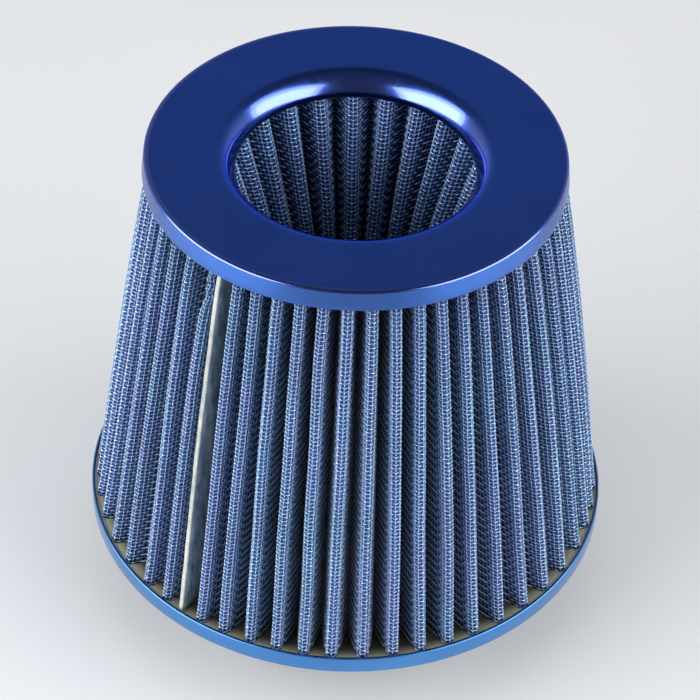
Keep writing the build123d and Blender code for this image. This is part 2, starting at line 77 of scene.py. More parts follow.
# ------------------------------------------------------------------ meshes from arrays
def mesh_object(name, verts_mm, face_sets, smooth=True, uv=None, cloth=None, lift=None):
    """face_sets is a list of (n, k) index arrays. uv, cloth and lift are per vertex: the layout, the cloth's own
    run and rise counted in wires, and how far a wire passes over (1) or under (-1) those it crosses."""
    v = np.asarray(verts_mm, dtype=np.float64) * MM
    me = bpy.data.meshes.new(name)
    me.vertices.add(len(v))
    me.vertices.foreach_set("co", v.astype(np.float32).ravel())
    sets = [np.asarray(f, dtype=np.int32) for f in face_sets if len(f)]
    loops = np.concatenate([f.ravel() for f in sets])
    totals = np.concatenate([np.full(len(f), f.shape[1], dtype=np.int32) for f in sets])
    starts = np.concatenate([[0], np.cumsum(totals)[:-1]]).astype(np.int32)
    me.loops.add(len(loops))
    me.loops.foreach_set("vertex_index", loops)
    me.polygons.add(len(totals))
    me.polygons.foreach_set("loop_start", starts)
    me.polygons.foreach_set("loop_total", totals)
    me.polygons.foreach_set("use_smooth", np.full(len(totals), smooth))
    me.update(calc_edges=True)
    if uv is not None:
        layer = me.uv_layers.new(name="OFBake")
        layer.data.foreach_set("uv", np.asarray(uv, dtype=np.float32)[loops].ravel())
    if cloth is not None:
        layer = me.uv_layers.new(name="cloth")
        layer.data.foreach_set("uv", np.asarray(cloth, dtype=np.float32)[loops].ravel())
    if lift is not None:
        me.attributes.new("lift", "FLOAT", "POINT").data.foreach_set("value", np.asarray(lift, dtype=np.float32))
    me.validate()
    o = bpy.data.objects.new(name, me)
    bpy.context.scene.collection.objects.link(o)
    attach(o, "root")
    return o


def tubes(paths, normals, radius, sides=3, closed=False, wide=1.0):
    """Closed tubes along paths (w, m, 3), with normals (w, m, 3) giving where the first side points."""
    p = np.asarray(paths, float)
    n = np.asarray(normals, float)
    w, m, _ = p.shape
    t = np.empty_like(p)
    if closed:
        t[:] = np.roll(p, -1, 1) - np.roll(p, 1, 1)
    else:
        t[:, 1:-1] = p[:, 2:] - p[:, :-2]
        t[:, 0] = p[:, 1] - p[:, 0]
        t[:, -1] = p[:, -1] - p[:, -2]
    t /= np.maximum(np.linalg.norm(t, axis=-1, keepdims=True), 1e-9)
    n = n - (n * t).sum(-1, keepdims=True) * t
    n /= np.maximum(np.linalg.norm(n, axis=-1, keepdims=True), 1e-9)
    b = np.cross(t, n)
    a = 2 * np.pi * np.arange(sides) / sides
    ring = n[:, :, None] * np.cos(a)[None, None, :, None] + b[:, :, None] * (wide * np.sin(a))[None, None, :, None]
    v = p[:, :, None] + radius * ring
    idx = np.arange(w * m * sides).reshape(w, m, sides)
    if closed:
        i0, i1 = idx, np.roll(idx, -1, 1)
    else:
        i0, i1 = idx[:, :-1], idx[:, 1:]
    j = np.roll(np.arange(sides), -1)
    quads = np.stack([i0, i1, i1[:, :, j], i0[:, :, j]], -1).reshape(-1, 4)
    caps = [] if closed else [idx[:, 0, ::1].reshape(w, sides), idx[:, -1, ::-1].reshape(w, sides)]
    return v.reshape(-1, 3), [quads, *caps]


def revolve(profile, segments=288):
    """Closed solid of revolution from a closed list of (r, z); points at r 0 stay apart by a hair."""
    q = np.asarray(profile, float)
    m = len(q)
    a = 2 * np.pi * np.arange(segments) / segments
    v = np.stack([q[None, :, 0] * np.cos(a)[:, None], q[None, :, 0] * np.sin(a)[:, None],
                  np.broadcast_to(q[None, :, 1], (segments, m))], -1)
    idx = np.arange(segments * m).reshape(segments, m)
    i1, j1 = np.roll(idx, -1, 0), np.roll(idx, -1, 1)
    quads = np.stack([idx, i1, np.roll(i1, -1, 1), j1], -1).reshape(-1, 4)
    area = sum(q[i, 0] * q[(i + 1) % m, 1] - q[(i + 1) % m, 0] * q[i, 1] for i in range(m))
    if area < 0:
        quads = quads[:, ::-1]
    return v.reshape(-1, 3), [quads]


def arc(c, r, a0, a1, n):
    a = np.radians(np.linspace(a0, a1, n))
    return [(c[0] + r * math.cos(x), c[1] + r * math.sin(x)) for x in a]


# ------------------------------------------------------------------ pleats
def unit(deg):
    a = np.radians(deg)
    return np.stack([np.cos(a), np.sin(a)], -1)


def left2(v):
    return np.stack([-v[..., 1], v[..., 0]], -1)


def fill_round(known, count, zero_deg, turn, jitter=0.0):
    known = sorted(known)
    gaps = count - len(known) + 1
    span = 360.0 - (known[-1] - known[0])
    full = known + [known[-1] + span * i / gaps for i in range(1, gaps)]
    return sorted((zero_deg + turn * x) % 360.0 for x in full)


def from_seam(angles, seam):
    i = min(range(len(angles)), key=lambda k: abs(angles[k] - seam))
    return [x if x >= angles[i] - 1e-9 else x + 360.0 for x in angles[i:] + angles[:i]]


out_low = np.array(from_seam(fill_round(OUT_FRONT_LOW, OUT_PLEATS, 270.0, 1.0), (270.0 + OUT_SEAM) % 360.0))
out_high = np.array(from_seam(fill_round(OUT_FRONT_HIGH, OUT_PLEATS, 270.0, 1.0), (270.0 + OUT_SEAM) % 360.0))
cone_crests = fill_round(CONE_FAR, CONE_PLEATS, 90.0, -1.0)
cone_roots = [(x + y) / 2 for x, y in zip(cone_crests, [*cone_crests[1:], cone_crests[0] + 360.0])]
cone_seam_deg = min(cone_roots, key=lambda x: abs(x % 360.0 - 262.0))
cone_angles = np.array(from_seam(sorted(x % 360.0 for x in cone_roots), cone_seam_deg % 360.0))


def smooth01(x):
    x = np.clip(x, 0.0, 1.0)
    return x * x * (3 - 2 * x)


class Pack:
    """A pleated sheet standing round the axis. Crest 0 is the seam. The face that t is counted from looks outwards."""

    foot = 0.0                # how far the crests splay at their lower end
    tuck = 0.0                # and how far they are drawn in at their upper end

    def __init__(self, low, high, z_low, z_high, r_low, r_high, depth, fold_low, fold_high, seam_depth, bulge, wobble, seed):
        self.low, self.high, self.n = low, high, len(low)
        self.z = (z_low, z_high)
        self.r = (r_low, r_high)
        self.depth, self.fold = depth, (fold_low, fold_high)
        self.seam_depth, self.bulge = seam_depth, bulge
        g = np.random.default_rng(seed)
        k = self.n
        self.wob = wobble * g.normal(size=(3, k))
        self.wob[:, 0] = 0
        self.rwob = 0.12 * g.normal(size=(2, k))
        self.rwob[:, 0] = 0
        self.phase = g.uniform(0, 2 * np.pi, size=(2, k))

    def shape(self, z):
        """Crest and root data for heights z (h,), all as (h, n, ...)."""
        z = np.asarray(z, float)
        tau = (z - self.z[0]) / (self.z[1] - self.z[0])
        mid = 4 * tau * (1 - tau)
        ends = np.clip(mid * 3.0, 0, 1)[:, None]
        r = self.r[0] + (self.r[1] - self.r[0]) * tau + self.bulge * mid + self.foot * np.exp(-np.abs(z - self.z[0] - 1.9) / 3.0) - self.tuck * np.exp((z - self.z[1]) / 5.0)
        fold = self.fold[0] + (self.fold[1] - self.fold[0]) * tau
        ang = self.low + (self.high - self.low) * tau[:, None] + ends * (
            self.wob[0] * np.sin(np.pi * tau)[:, None]
            + 0.6 * self.wob[1] * np.sin(2 * np.pi * tau)[:, None]
            + 0.25 * self.wob[2] * np.sin(5 * np.pi * tau[:, None] + self.phase[0]))
        rc = r[:, None] + ends * (self.rwob[0] * np.sin(np.pi * tau)[:, None] + 0.5 * self.rwob[1] * np.sin(6 * tau[:, None] + self.phase[1]))
        extra = self.local(z, tau)
        if extra is not None:
            ang, rc = ang + extra[0], rc + extra[1]
        root_ang = (ang + np.concatenate([ang[:, 1:], ang[:, :1] + 360.0], 1)) / 2
        root_r = r[:, None] - (self.depth - fold[:, None])
        A = unit(ang) * (rc - fold[:, None])[..., None]
        B = unit(root_ang) * root_r[..., None]
        return dict(z=z, A=A, uA=unit(ang), B=B, uB=unit(root_ang), rc=rc, fold=fold, r=r)

    def local(self, z, tau):
        return None

    def crumple(self, P):
        return P

    def half(self, s, t, k, side):
        """One half pleat from crest k to the root on its side (+1 anticlockwise), for every height: the pieces of its line at offset t."""
        a = s["fold"] - t
        b = s["fold"] - SHEET_T + t
        A, uA = s["A"][:, k], s["uA"][:, k]
        j = k if side > 0 else (k - 1) % self.n
        B, uB = s["B"][:, j], s["uB"][:, j]
        d = B - A
        dist = np.linalg.norm(d, axis=-1)
        d = d / dist[:, None]
        n = left2(d)
        flip = np.sign((n * left2(uA)).sum(-1)) * side
        n = n * flip[:, None]
        ca = (a + b) / dist
        m = d * ca[:, None] + n * np.sqrt(1 - ca ** 2)[:, None]
        PA, PB = A + m * a[:, None], B - m * b[:, None]
        fa = np.arccos(np.clip((uA * m).sum(-1), -1, 1))
        fb = np.arccos(np.clip((uB * m).sum(-1), -1, 1))
        L = np.linalg.norm(PB - PA, axis=-1)
        return dict(A=A, uA=uA, a=a, B=B, uB=uB, b=b, m=m, PA=PA, PB=PB, fa=fa, fb=fb, L=L, total=a * fa + L + b * fb)

    @staticmethod
    def at(h, w):
        """Points and outward normals at distance w (heights, samples) along a half pleat from its crest."""
        w = np.asarray(w, float)
        la, lf = (h["a"] * h["fa"])[:, None], h["L"][:, None]
        # crest
        x = np.clip(w / np.maximum(la, 1e-9), 0, 1)
        ang = x * h["fa"][:, None]
        sf = np.maximum(np.sin(h["fa"]), 1e-6)[:, None]
        dirA = (np.sin(h["fa"][:, None] - ang) / sf)[..., None] * h["uA"][:, None] + (np.sin(ang) / sf)[..., None] * h["m"][:, None]
        pA = h["A"][:, None] + h["a"][:, None, None] * dirA
        # flank
        y = np.clip((w - la) / lf, 0, 1)
        pF = h["PA"][:, None] + y[..., None] * (h["PB"] - h["PA"])[:, None]
        # root
        v = np.clip((w - la - lf) / np.maximum(h["b"] * h["fb"], 1e-9)[:, None], 0, 1)
        ang2 = v * h["fb"][:, None]
        sb = np.maximum(np.sin(h["fb"]), 1e-6)[:, None]
        dirB = (np.sin(h["fb"][:, None] - ang2) / sb)[..., None] * h["m"][:, None] + (np.sin(ang2) / sb)[..., None] * h["uB"][:, None]
        pB = h["B"][:, None] - h["b"][:, None, None] * dirB
        on_a, on_b = (w < la)[..., None], (w > la + lf)[..., None]
        p = np.where(on_a, pA, np.where(on_b, pB, pF))
        n = np.where(on_a, dirA, np.where(on_b, dirB, np.broadcast_to(h["m"][:, None], p.shape)))
        return p, n

    def seam_half(self, s, t, side):
        """Line from the seam into the root beside it, as (points, normals) with six samples for every height."""
        u = s["uA"][:, 0]
        v = left2(u) * side
        lay = (CLIP_HALF - CLIP_WALL) * (1 - t / SHEET_T) + 0.01
        r = s["r"]
        j = 0 if side > 0 else self.n - 1
        B, uB = s["B"][:, j], s["uB"][:, j]
        b = s["fold"] - SHEET_T + t
        end = u * (r - CLIP_WALL - 0.3)[:, None] + v * lay
        mouth = u * (r - self.seam_depth)[:, None] + v * lay
        d = B - mouth
        dist = np.linalg.norm(d, axis=-1)
        d = d / dist[:, None]
        n = left2(d)
        n = n * np.sign((n * v).sum(-1))[:, None]
        ca = b / dist
        m = d * ca[:, None] + n * np.sqrt(np.maximum(1 - ca ** 2, 0))[:, None]
        PB = B - m * b[:, None]
        fb = np.arccos(np.clip((uB * m).sum(-1), -1, 1))
        sb = np.maximum(np.sin(fb), 1e-6)
        half = (np.sin(fb / 2) / sb)[:, None] * (m + uB)
        pts = np.stack([end, (end + mouth) / 2, mouth, PB, B - b[:, None] * half, B - b[:, None] * uB], 1)
        nor = np.stack([v, v, (v + m) / np.linalg.norm(v + m, axis=-1, keepdims=True), m, half, uB], 1)
        return pts, nor

    def line(self, z, t, samples):
        """The whole line round the pack at heights z: samples(half, heights) gives the distances used on each half pleat."""
        s = self.shape(z)
        P, N = [], []
        p, n = self.seam_half(s, t, +1)
        P.append(p); N.append(n)
        for k in range(1, self.n):
            for side in (-1, +1):
                h = self.half(s, t, k, side)
                w = samples(h, k, side)
                p, n = self.at(h, w)
                if side < 0:
                    p, n = p[:, ::-1], n[:, ::-1]
                    if k == 1:
                        p, n = p[:, 1:], n[:, 1:]
                    else:
                        p, n = p[:, 1:], n[:, 1:]
                else:
                    p, n = p[:, 1:], n[:, 1:]
                P.append(p); N.append(n)
        p, n = self.seam_half(s, t, -1)
        P.append(p[:, ::-1][:, 1:]); N.append(n[:, ::-1][:, 1:])
        P, N = np.concatenate(P, 1), np.concatenate(N, 1)
        zz = np.broadcast_to(s["z"][:, None, None], (*P.shape[:2], 1))
        return np.concatenate([P, zz], -1), np.concatenate([N, np.zeros_like(zz)], -1)


class OuterPack(Pack):
    dent = 55                 # crest just before the seam, crushed towards it near the top
    foot = 0.32
    tuck = 1.0

    def local(self, z, tau):
        ang = np.zeros((len(z), self.n))
        rad = np.zeros((len(z), self.n))
        y = z - NECK_LEN
        ang[:, self.dent] += 0.45 * smooth01((y - 80.0) / 26.0) + 0.75 * smooth01((y - 105.0) / 5.0)
        rad[:, self.dent] += -0.35 * np.exp(-((y - 108.0) / 4.0) ** 2)
        # the pack stands a little further in on its left side
        near = np.exp(-(((self.low - 190.0 + 180.0) % 360.0 - 180.0) / 24.0) ** 2)
        rad -= 0.8 * near[None, :] * np.sqrt(np.clip(np.sin(np.pi * tau), 0, 1))[:, None]
        return ang, rad

    def crumple(self, P):
        """Pinch and ripple the crushed crest; everything on it moves together."""
        P = np.array(P, float)
        y = P[..., 2] - NECK_LEN
        wz = smooth01((y - 103.0) / 6.0)
        if not (wz > 0).any():
            return P
        zs = np.linspace(self.z[0], self.z[1], 200)
        sh = self.shape(zs)
        ang = np.interp(P[..., 2], zs, np.unwrap(np.arctan2(sh["uA"][:, self.dent, 1], sh["uA"][:, self.dent, 0])))
        rc = np.interp(P[..., 2], zs, sh["rc"][:, self.dent])
        r = np.hypot(P[..., 0], P[..., 1])
        d = (np.arctan2(P[..., 1], P[..., 0]) - ang + np.pi) % (2 * np.pi) - np.pi
        side = r * d
        w = wz * np.exp(-(side / 3.4) ** 4) * np.exp(-(np.clip(rc - r, 0, None) / 5.0) ** 2)
        ripple = np.exp(-((y - 112.0) / 7.0) ** 2)
        side2 = side * (1 - 0.34 * w) + w * ripple * 0.28 * np.sin(y * 1.55 + 0.8)
        r2 = r - w * (0.25 + ripple * (0.22 * np.sin(y * 1.21 + side * 1.4) + 0.16 * np.sin(y * 2.3 - side * 2.1 + 1.0)))
        z2 = P[..., 2] + w * ripple * 0.22 * np.sin(side * 2.2 + y * 0.9)
        a2 = ang + side2 / np.maximum(r2, 1e-6)
        moved = np.stack([r2 * np.cos(a2), r2 * np.sin(a2), z2], -1)
        return np.where((w > 1e-3)[..., None], moved, P)


outer = OuterPack(out_low, out_high, OUT_LOW_Z, OUT_HIGH_Z, OUT_LOW_R, OUT_HIGH_R, OUT_DEPTH, OUT_FOLD_R, OUT_FOLD_R, CLIP_DEPTH, 0.9, 0.16, 11)
cone = Pack(cone_angles, cone_angles, CONE_LOW_Z, CONE_HIGH_Z, CONE_LOW_R + CONE_DEPTH, CONE_HIGH_R + CONE_DEPTH, CONE_DEPTH,
            CONE_FOLD_R_LOW, CONE_FOLD_R_HIGH, CONE_CLIP_DEPTH, 0.25, 0.35, 12)


def sheet_mesh(pack, z, t0, t1, samples):
    """Closed pleated sheet between offsets t0 and t1, and its unwrapped layout."""
    P0, _ = pack.line(z, t0, samples)
    P1, _ = pack.line(z, t1, samples)
    P0, P1 = pack.crumple(P0), pack.crumple(P1)
    h, m, _ = P0.shape
    v = np.concatenate([P0.reshape(-1, 3), P1.reshape(-1, 3)])
    i0 = np.arange(h * m).reshape(h, m)
    i1 = i0 + h * m
    outer_f = np.stack([i0[:-1, :-1], i0[:-1, 1:], i0[1:, 1:], i0[1:, :-1]], -1).reshape(-1, 4)
    inner_f = np.stack([i1[:-1, :-1], i1[1:, :-1], i1[1:, 1:], i1[:-1, 1:]], -1).reshape(-1, 4)
    low = np.stack([i0[0, :-1], i1[0, :-1], i1[0, 1:], i0[0, 1:]], -1)
    high = np.stack([i0[-1, :-1], i0[-1, 1:], i1[-1, 1:], i1[-1, :-1]], -1)
    e0 = np.stack([i0[:-1, 0], i0[1:, 0], i1[1:, 0], i1[:-1, 0]], -1)
    e1 = np.stack([i0[:-1, -1], i1[:-1, -1], i1[1:, -1], i0[1:, -1]], -1)
    run = np.concatenate([np.zeros((h, 1)), np.cumsum(np.linalg.norm(np.diff(P0, axis=1), axis=-1), 1)], 1)
    return v, [outer_f, inner_f, low, high, e0, e1], run


def coarse(h, k, side):
    """Crest, flank and root samples of one half pleat."""
    la = h["a"] * h["fa"]
    T = h["total"]
    lb = h["b"] * h["fb"]
    c = [0 * la, la * 0.34, la * 0.67, la, la + h["L"] * 0.5, T - lb, T - lb * 0.5, T]
    return np.stack(c, -1)


TUBE_R = WIRE_R * 1.2     # a three-sided wire with the breadth of a round one


def drift(P):
    """The cloth's rows rise and fall a little round the pack."""
    a = np.arctan2(P[..., 1], P[..., 0])
    return 0.13 * np.sin(7 * a + 0.05 * P[..., 2]) + 0.09 * np.sin(17 * a - 0.08 * P[..., 2] + 1.7) + 0.05 * np.sin(41 * a + 0.13 * P[..., 2])


def wires(pack, levels, t, mouth_side, name, material, upright, dull, pieces, reach, upright_reach):
    """Woven wire cloth on one face of a pack. levels are the heights of the round wires. mouth_side turns the
    count round, for the face whose crests are the pack's roots."""
    g = np.random.default_rng(len(levels))
    amp = WEAVE
    n = pack.n
    phi = g.uniform(0.05, PITCH - 0.05, size=n + 2)
    counts = np.arange(-reach, reach + 1)
    s = pack.shape(levels)
    lv = np.arange(len(levels))
    made = []
    sign_out = -1.0 if mouth_side else 1.0
    P, N, O = [], [], []

    def add(p, nn, off):
        P.append(p); N.append(nn); O.append(off)

    p, nn = pack.seam_half(s, t, +1)
    add(p[:, 0:1], nn[:, 0:1], np.zeros((len(levels), 1)))
    add(p[:, 2:], nn[:, 2:], np.zeros((len(levels), p.shape[1] - 2)))
    uprights = {}
    for k in range(1, n):
        hm, hp = pack.half(s, t, k, -1), pack.half(s, t, k, +1)
        if not mouth_side:
            w = phi[k] - PITCH / 2 + counts * PITCH
            neg, pos = w[w < 0][::1], w[w >= 0]
            # the half before the crest, from the root up
            wn = np.broadcast_to(-neg[None, :], (len(levels), len(neg)))
            p, nn = pack.at(hm, wn)
            lb = (hm["b"] * hm["fb"])[:, None]
            q, qn = pack.at(hm, np.concatenate([hm["total"][:, None] - lb * 0.999], 1))
            add(q, qn, np.full((len(levels), 1), PROUD))
            off = np.where((lv[:, None] + np.arange(len(neg))[None, :]) % 2 == 0, amp, -amp)
            add(p, nn, off)
            base = len(neg)
            wp = np.broadcast_to(pos[None, :], (len(levels), len(pos)))
            p, nn = pack.at(hp, wp)
            off = np.where((lv[:, None] + base + np.arange(len(pos))[None, :]) % 2 == 0, amp, -amp)
            add(p, nn, off)
            lb = (hp["b"] * hp["fb"])[:, None]
            q, qn = pack.at(hp, np.concatenate([hp["total"][:, None] - lb * 0.999, hp["total"][:, None]], 1))
            add(q, qn, np.broadcast_to([PROUD, 0.0], (len(levels), 2)))
        else:
            # crests of this face are the roots that follow crest k: before it the half pleat of crest k, after it that of crest k + 1
            lb = (hm["a"] * hm["fa"])[:, None]
            if k > 1:
                pass
            q, qn = pack.at(hp, np.concatenate([0 * lb, (hp["a"] * hp["fa"])[:, None] * 0.999], 1))
            add(q, qn, np.broadcast_to([0.0, PROUD], (len(levels), 2)))
            w = phi[k] - PITCH / 2 + counts * PITCH
            neg, pos = w[w < 0], w[w >= 0]
            wn = hp["total"][:, None] + neg[None, :]
            p, nn = pack.at(hp, wn)
            off = np.where((lv[:, None] + np.arange(len(neg))[None, :]) % 2 == 0, amp, -amp)
            add(p, nn, off)
            if k + 1 < n:
                hq = pack.half(s, t, k + 1, -1)
                base = len(neg)
                p, nn = pack.at(hq, hq["total"][:, None] - pos[None, :])
                off = np.where((lv[:, None] + base + np.arange(len(pos))[None, :]) % 2 == 0, amp, -amp)
                add(p, nn, off)
                q, qn = pack.at(hq, (hq["a"] * hq["fa"])[:, None] * 0.999)
                add(q, qn, np.full((len(levels), 1), PROUD))
    p, nn = pack.seam_half(s, t, -1)
    add(p[:, 2:][:, ::-1], nn[:, 2:][:, ::-1], np.zeros((len(levels), p.shape[1] - 2)))
    add(p[:, 0:1], nn[:, 0:1], np.zeros((len(levels), 1)))
    P, N, O = np.concatenate(P, 1), np.concatenate(N, 1) * sign_out, np.concatenate(O, 1)
    xy = P + N * O[..., None]
    path = np.concatenate([xy, np.broadcast_to(np.asarray(levels)[:, None, None], (*xy.shape[:2], 1))], -1)
    path[..., 2] += drift(path) + g.normal(size=(len(levels), 1)) * 0.03
    path = pack.crumple(path)
    nor = np.concatenate([N, np.zeros((*N.shape[:2], 1))], -1)
    # lift drives the wire material's painted highlight and shade; the proud wires of the outer face get 0.6, a painted
    # highlight
    lift = np.where(np.isclose(O, PROUD), 0.0 if mouth_side else 0.6, O / amp)
    step = int(math.ceil(len(levels) / pieces))
    for i in range(pieces):
        sel = slice(i * step, min(len(levels), (i + 1) * step))
        v, f = tubes(path[sel], nor[sel], TUBE_R)
        o = mesh_object(f"{name}_round_wires_{i + 1}", v, f, uv=layout(v), lift=np.repeat(lift[sel].ravel(), 3))
        o.data.materials.append(material)
        made.append(o)
    # upright wires
    zs_fine = np.asarray(levels)
    zs_coarse = np.linspace(levels[0], levels[-1], 7)
    s2 = pack.shape(zs_coarse)
    fine_p, fine_n, fine_o, rough_p, rough_n, rough_o = [], [], [], [], [], []
    for k in range(1, n):
        w_all = phi[k] - PITCH / 2 + np.arange(-upright_reach, upright_reach + 1) * PITCH
        first = int((w_all < 0).sum())
        for i, w in enumerate(w_all):
            woven = abs(w) < 2.9
            src = s if woven else s2
            if not mouth_side:
                h = pack.half(src, t, k, -1 if w < 0 else +1)
                ww = abs(w) + (0.05 * np.sin(src["z"] * 0.17 + 3.1 * k + i) + 0.03 * np.sin(src["z"] * 0.61 + k))[:, None]
                if not woven and abs(w) > h["total"].min() - 0.3:
                    continue
            else:
                if w >= 0 and k + 1 >= n:
                    continue
                h = pack.half(src, t, k, +1) if w < 0 else pack.half(src, t, k + 1, -1)
                ww = h["total"][:, None] - abs(w)
                if not woven and abs(w) > h["total"].min() - 0.3:
                    continue
            p, nn = pack.at(h, ww)
            p, nn = p[:, 0], nn[:, 0] * sign_out
            # the same count as on the round wires fixes which one passes over
            neg_count = int(((phi[k] - PITCH / 2 + counts * PITCH) < 0).sum())
            number = neg_count + (i - first)
            if woven:
                off = np.where((lv + number) % 2 == 0, -amp, amp)
            else:
                off = np.full(len(src["z"]), -PROUD)
            q = np.concatenate([p + nn * off[:, None], src["z"][:, None]], -1)
            q[:, 2] += np.clip(drift(q), -0.3, 0.3)
            q = pack.crumple(q)
            qn = np.concatenate([nn, np.zeros((len(q), 1))], -1)
            (fine_p if woven else rough_p).append(q)
            (fine_n if woven else rough_n).append(qn)
            (fine_o if woven else rough_o).append(off / amp)
    for label, pp, nn, oo, parts in (("crest_wires", fine_p, fine_n, fine_o, max(1, pieces - 1)), ("flank_wires", rough_p, rough_n, rough_o, 1)):
        pp, nn, oo = np.array(pp), np.array(nn), np.array(oo)
        step = int(math.ceil(len(pp) / parts))
        for i in range(parts):
            v, f = tubes(pp[i * step:(i + 1) * step], nn[i * step:(i + 1) * step], TUBE_R)
            o = mesh_object(f"{name}_{label}_{i + 1}", v, f, uv=layout(v), lift=np.repeat(oo[i * step:(i + 1) * step].ravel(), 3))
            # the flank uprights take the duller material, which also paints shade by depth
            o.data.materials.append(upright if label == "crest_wires" else dull)
            made.append(o)
    return made


def layout(v):
    """Round the axis by angle and height, so that one place on the cloth has one place in the layout."""
    a = (np.arctan2(v[:, 1], v[:, 0]) / (2 * np.pi)) % 1.0
    z = v[:, 2]
    return np.stack([0.01 + 0.98 * a, 0.01 + 0.98 * (z - z.min()) / max(z.max() - z.min(), 1e-6)], -1)


# ------------------------------------------------------------------ materials
def material(name):
    m = bpy.data.materials.new(name)
    m.use_nodes = True
    nt = m.node_tree
    for n in list(nt.nodes):
        nt.nodes.remove(n)
    out = nt.nodes.new("ShaderNodeOutputMaterial")
    bsdf = nt.nodes.new("ShaderNodeBsdfPrincipled")
    nt.links.new(bsdf.outputs[0], out.inputs[0])
    return m, nt, bsdf


def node(nt, kind, **props):
    n = nt.nodes.new(kind)
    for k, v in props.items():
        setattr(n, k, v)
    return n


def noise(nt, coord, scale, detail=3.0, rough=0.55, stretch=None):
    if stretch is not None:
        mp = node(nt, "ShaderNodeMapping")
        mp.inputs["Scale"].default_value = stretch
        nt.links.new(coord, mp.inputs["Vector"])
        coord = mp.outputs[0]
    n = node(nt, "ShaderNodeTexNoise")
    n.inputs["Scale"].default_value = scale
    n.inputs["Detail"].default_value = detail
    n.inputs["Roughness"].default_value = rough
    nt.links.new(coord, n.inputs["Vector"])
    return n.outputs["Fac"]


def ramp(nt, fac, stops):
    r = node(nt, "ShaderNodeValToRGB")
    while len(r.color_ramp.elements) < len(stops):
        r.color_ramp.elements.new(0.5)
    for e, (pos, col) in zip(r.color_ramp.elements, stops):
        e.position = pos
        e.color = (*col, 1.0)
    nt.links.new(fac, r.inputs[0])
    return r.outputs[0]


def remap(nt, fac, lo, hi, to_lo, to_hi):
    r = node(nt, "ShaderNodeMapRange")
    for i, v in zip(("From Min", "From Max", "To Min", "To Max"), (lo, hi, to_lo, to_hi)):
        r.inputs[i].default_value = v
    nt.links.new(fac, r.inputs["Value"])
    return r.outputs[0]


def math_node(nt, op, a, b=None):
    n = node(nt, "ShaderNodeMath", operation=op)
    for i, x in enumerate((a, b)):
        if x is None:
            continue
        if isinstance(x, (int, float)):
            n.inputs[i].default_value = x
        else:
            nt.links.new(x, n.inputs[i])
    return n.outputs[0]


def mix(nt, fac, a, b):
    n = node(nt, "ShaderNodeMix", data_type="RGBA")
    nt.links.new(fac, n.inputs["Factor"]) if not isinstance(fac, float) else setattr(n.inputs["Factor"], "default_value", fac)
    for socket, x in ((n.inputs[6], a), (n.inputs[7], b)):
        if isinstance(x, tuple):
            socket.default_value = (*x, 1.0)
        else:
            nt.links.new(x, socket)
    return n.outputs[2]


def bump(nt, bsdf, height, strength, distance):
    b = node(nt, "ShaderNodeBump")
    b.inputs["Strength"].default_value = strength
    b.inputs["Distance"].default_value = distance
    nt.links.new(height, b.inputs["Height"])
    nt.links.new(b.outputs[0], bsdf.inputs["Normal"])


def object_coord(nt):
    return node(nt, "ShaderNodeTexCoord").outputs["Object"]


def anodised(name, dark, light, rough, coat, specks, mouth=False, turned=0.0, coat_rough=None):
    m, nt, b = material(name)
    co = object_coord(nt)
    cloud = noise(nt, co, 38.0, 2.0)
    base = ramp(nt, cloud, [(0.3, dark), (0.7, light)])
    fine = noise(nt, co, 420.0, 4.0, 0.6)
    rough_out = remap(nt, fine, 0.3, 0.7, rough - 0.035, rough + 0.035)
    if specks:
        # specks of dust
        vor = node(nt, "ShaderNodeTexVoronoi", feature="F1")
        vor.inputs["Scale"].default_value = 95.0
        nt.links.new(co, vor.inputs["Vector"])
        dot = remap(nt, vor.outputs["Distance"], 0.020, 0.036, 1.0, 0.0)
        sep = node(nt, "ShaderNodeSeparateColor")
        nt.links.new(vor.outputs["Color"], sep.inputs[0])
        rare = math_node(nt, "GREATER_THAN", sep.outputs[0], 0.93)
        speck = math_node(nt, "MULTIPLY", dot, rare)
        base = mix(nt, speck, base, (0.42, 0.50, 0.68))
        rough_out = math_node(nt, "ADD", rough_out, math_node(nt, "MULTIPLY", speck, 0.4))
    nt.links.new(base, b.inputs["Base Color"])
    b.inputs["Metallic"].default_value = 1.0
    nt.links.new(rough_out, b.inputs["Roughness"])
    if mouth:
        # polished brighter where it rolls into the mouth and along the outer edge
        flat_v = node(nt, "ShaderNodeVectorMath", operation="MULTIPLY")
        flat_v.inputs[1].default_value = (1000.0, 1000.0, 0.0)
        nt.links.new(co, flat_v.inputs[0])
        length = node(nt, "ShaderNodeVectorMath", operation="LENGTH")
        nt.links.new(flat_v.outputs[0], length.inputs[0])
        inner = remap(nt, length.outputs["Value"], 34.4, 36.4, 1.0, coat)
        outer_edge = remap(nt, length.outputs["Value"], TOP_FLAT_R - 1.3, TOP_FLAT_R - 0.85, 0.0, 1.0)
        nt.links.new(math_node(nt, "MAXIMUM", inner, outer_edge), b.inputs["Coat Weight"])
        # the dye keeps the metal blue at low angles too
        b.inputs["Specular Tint"].default_value = (0.38, 0.40, 1.0, 1.0)
    else:
        b.inputs["Coat Weight"].default_value = coat
    b.inputs["Coat Roughness"].default_value = rough * 0.7 if coat_rough is None else coat_rough
    if turned:
        # fine turning marks run round the axis and spread the light up and down
        b.inputs["Anisotropic"].default_value = turned
        b.inputs["Anisotropic Rotation"].default_value = 0.25
    grain = noise(nt, co, 1500.0, 2.0, 0.5)
    bump(nt, b, grain, 0.04, 0.00005)
    return m


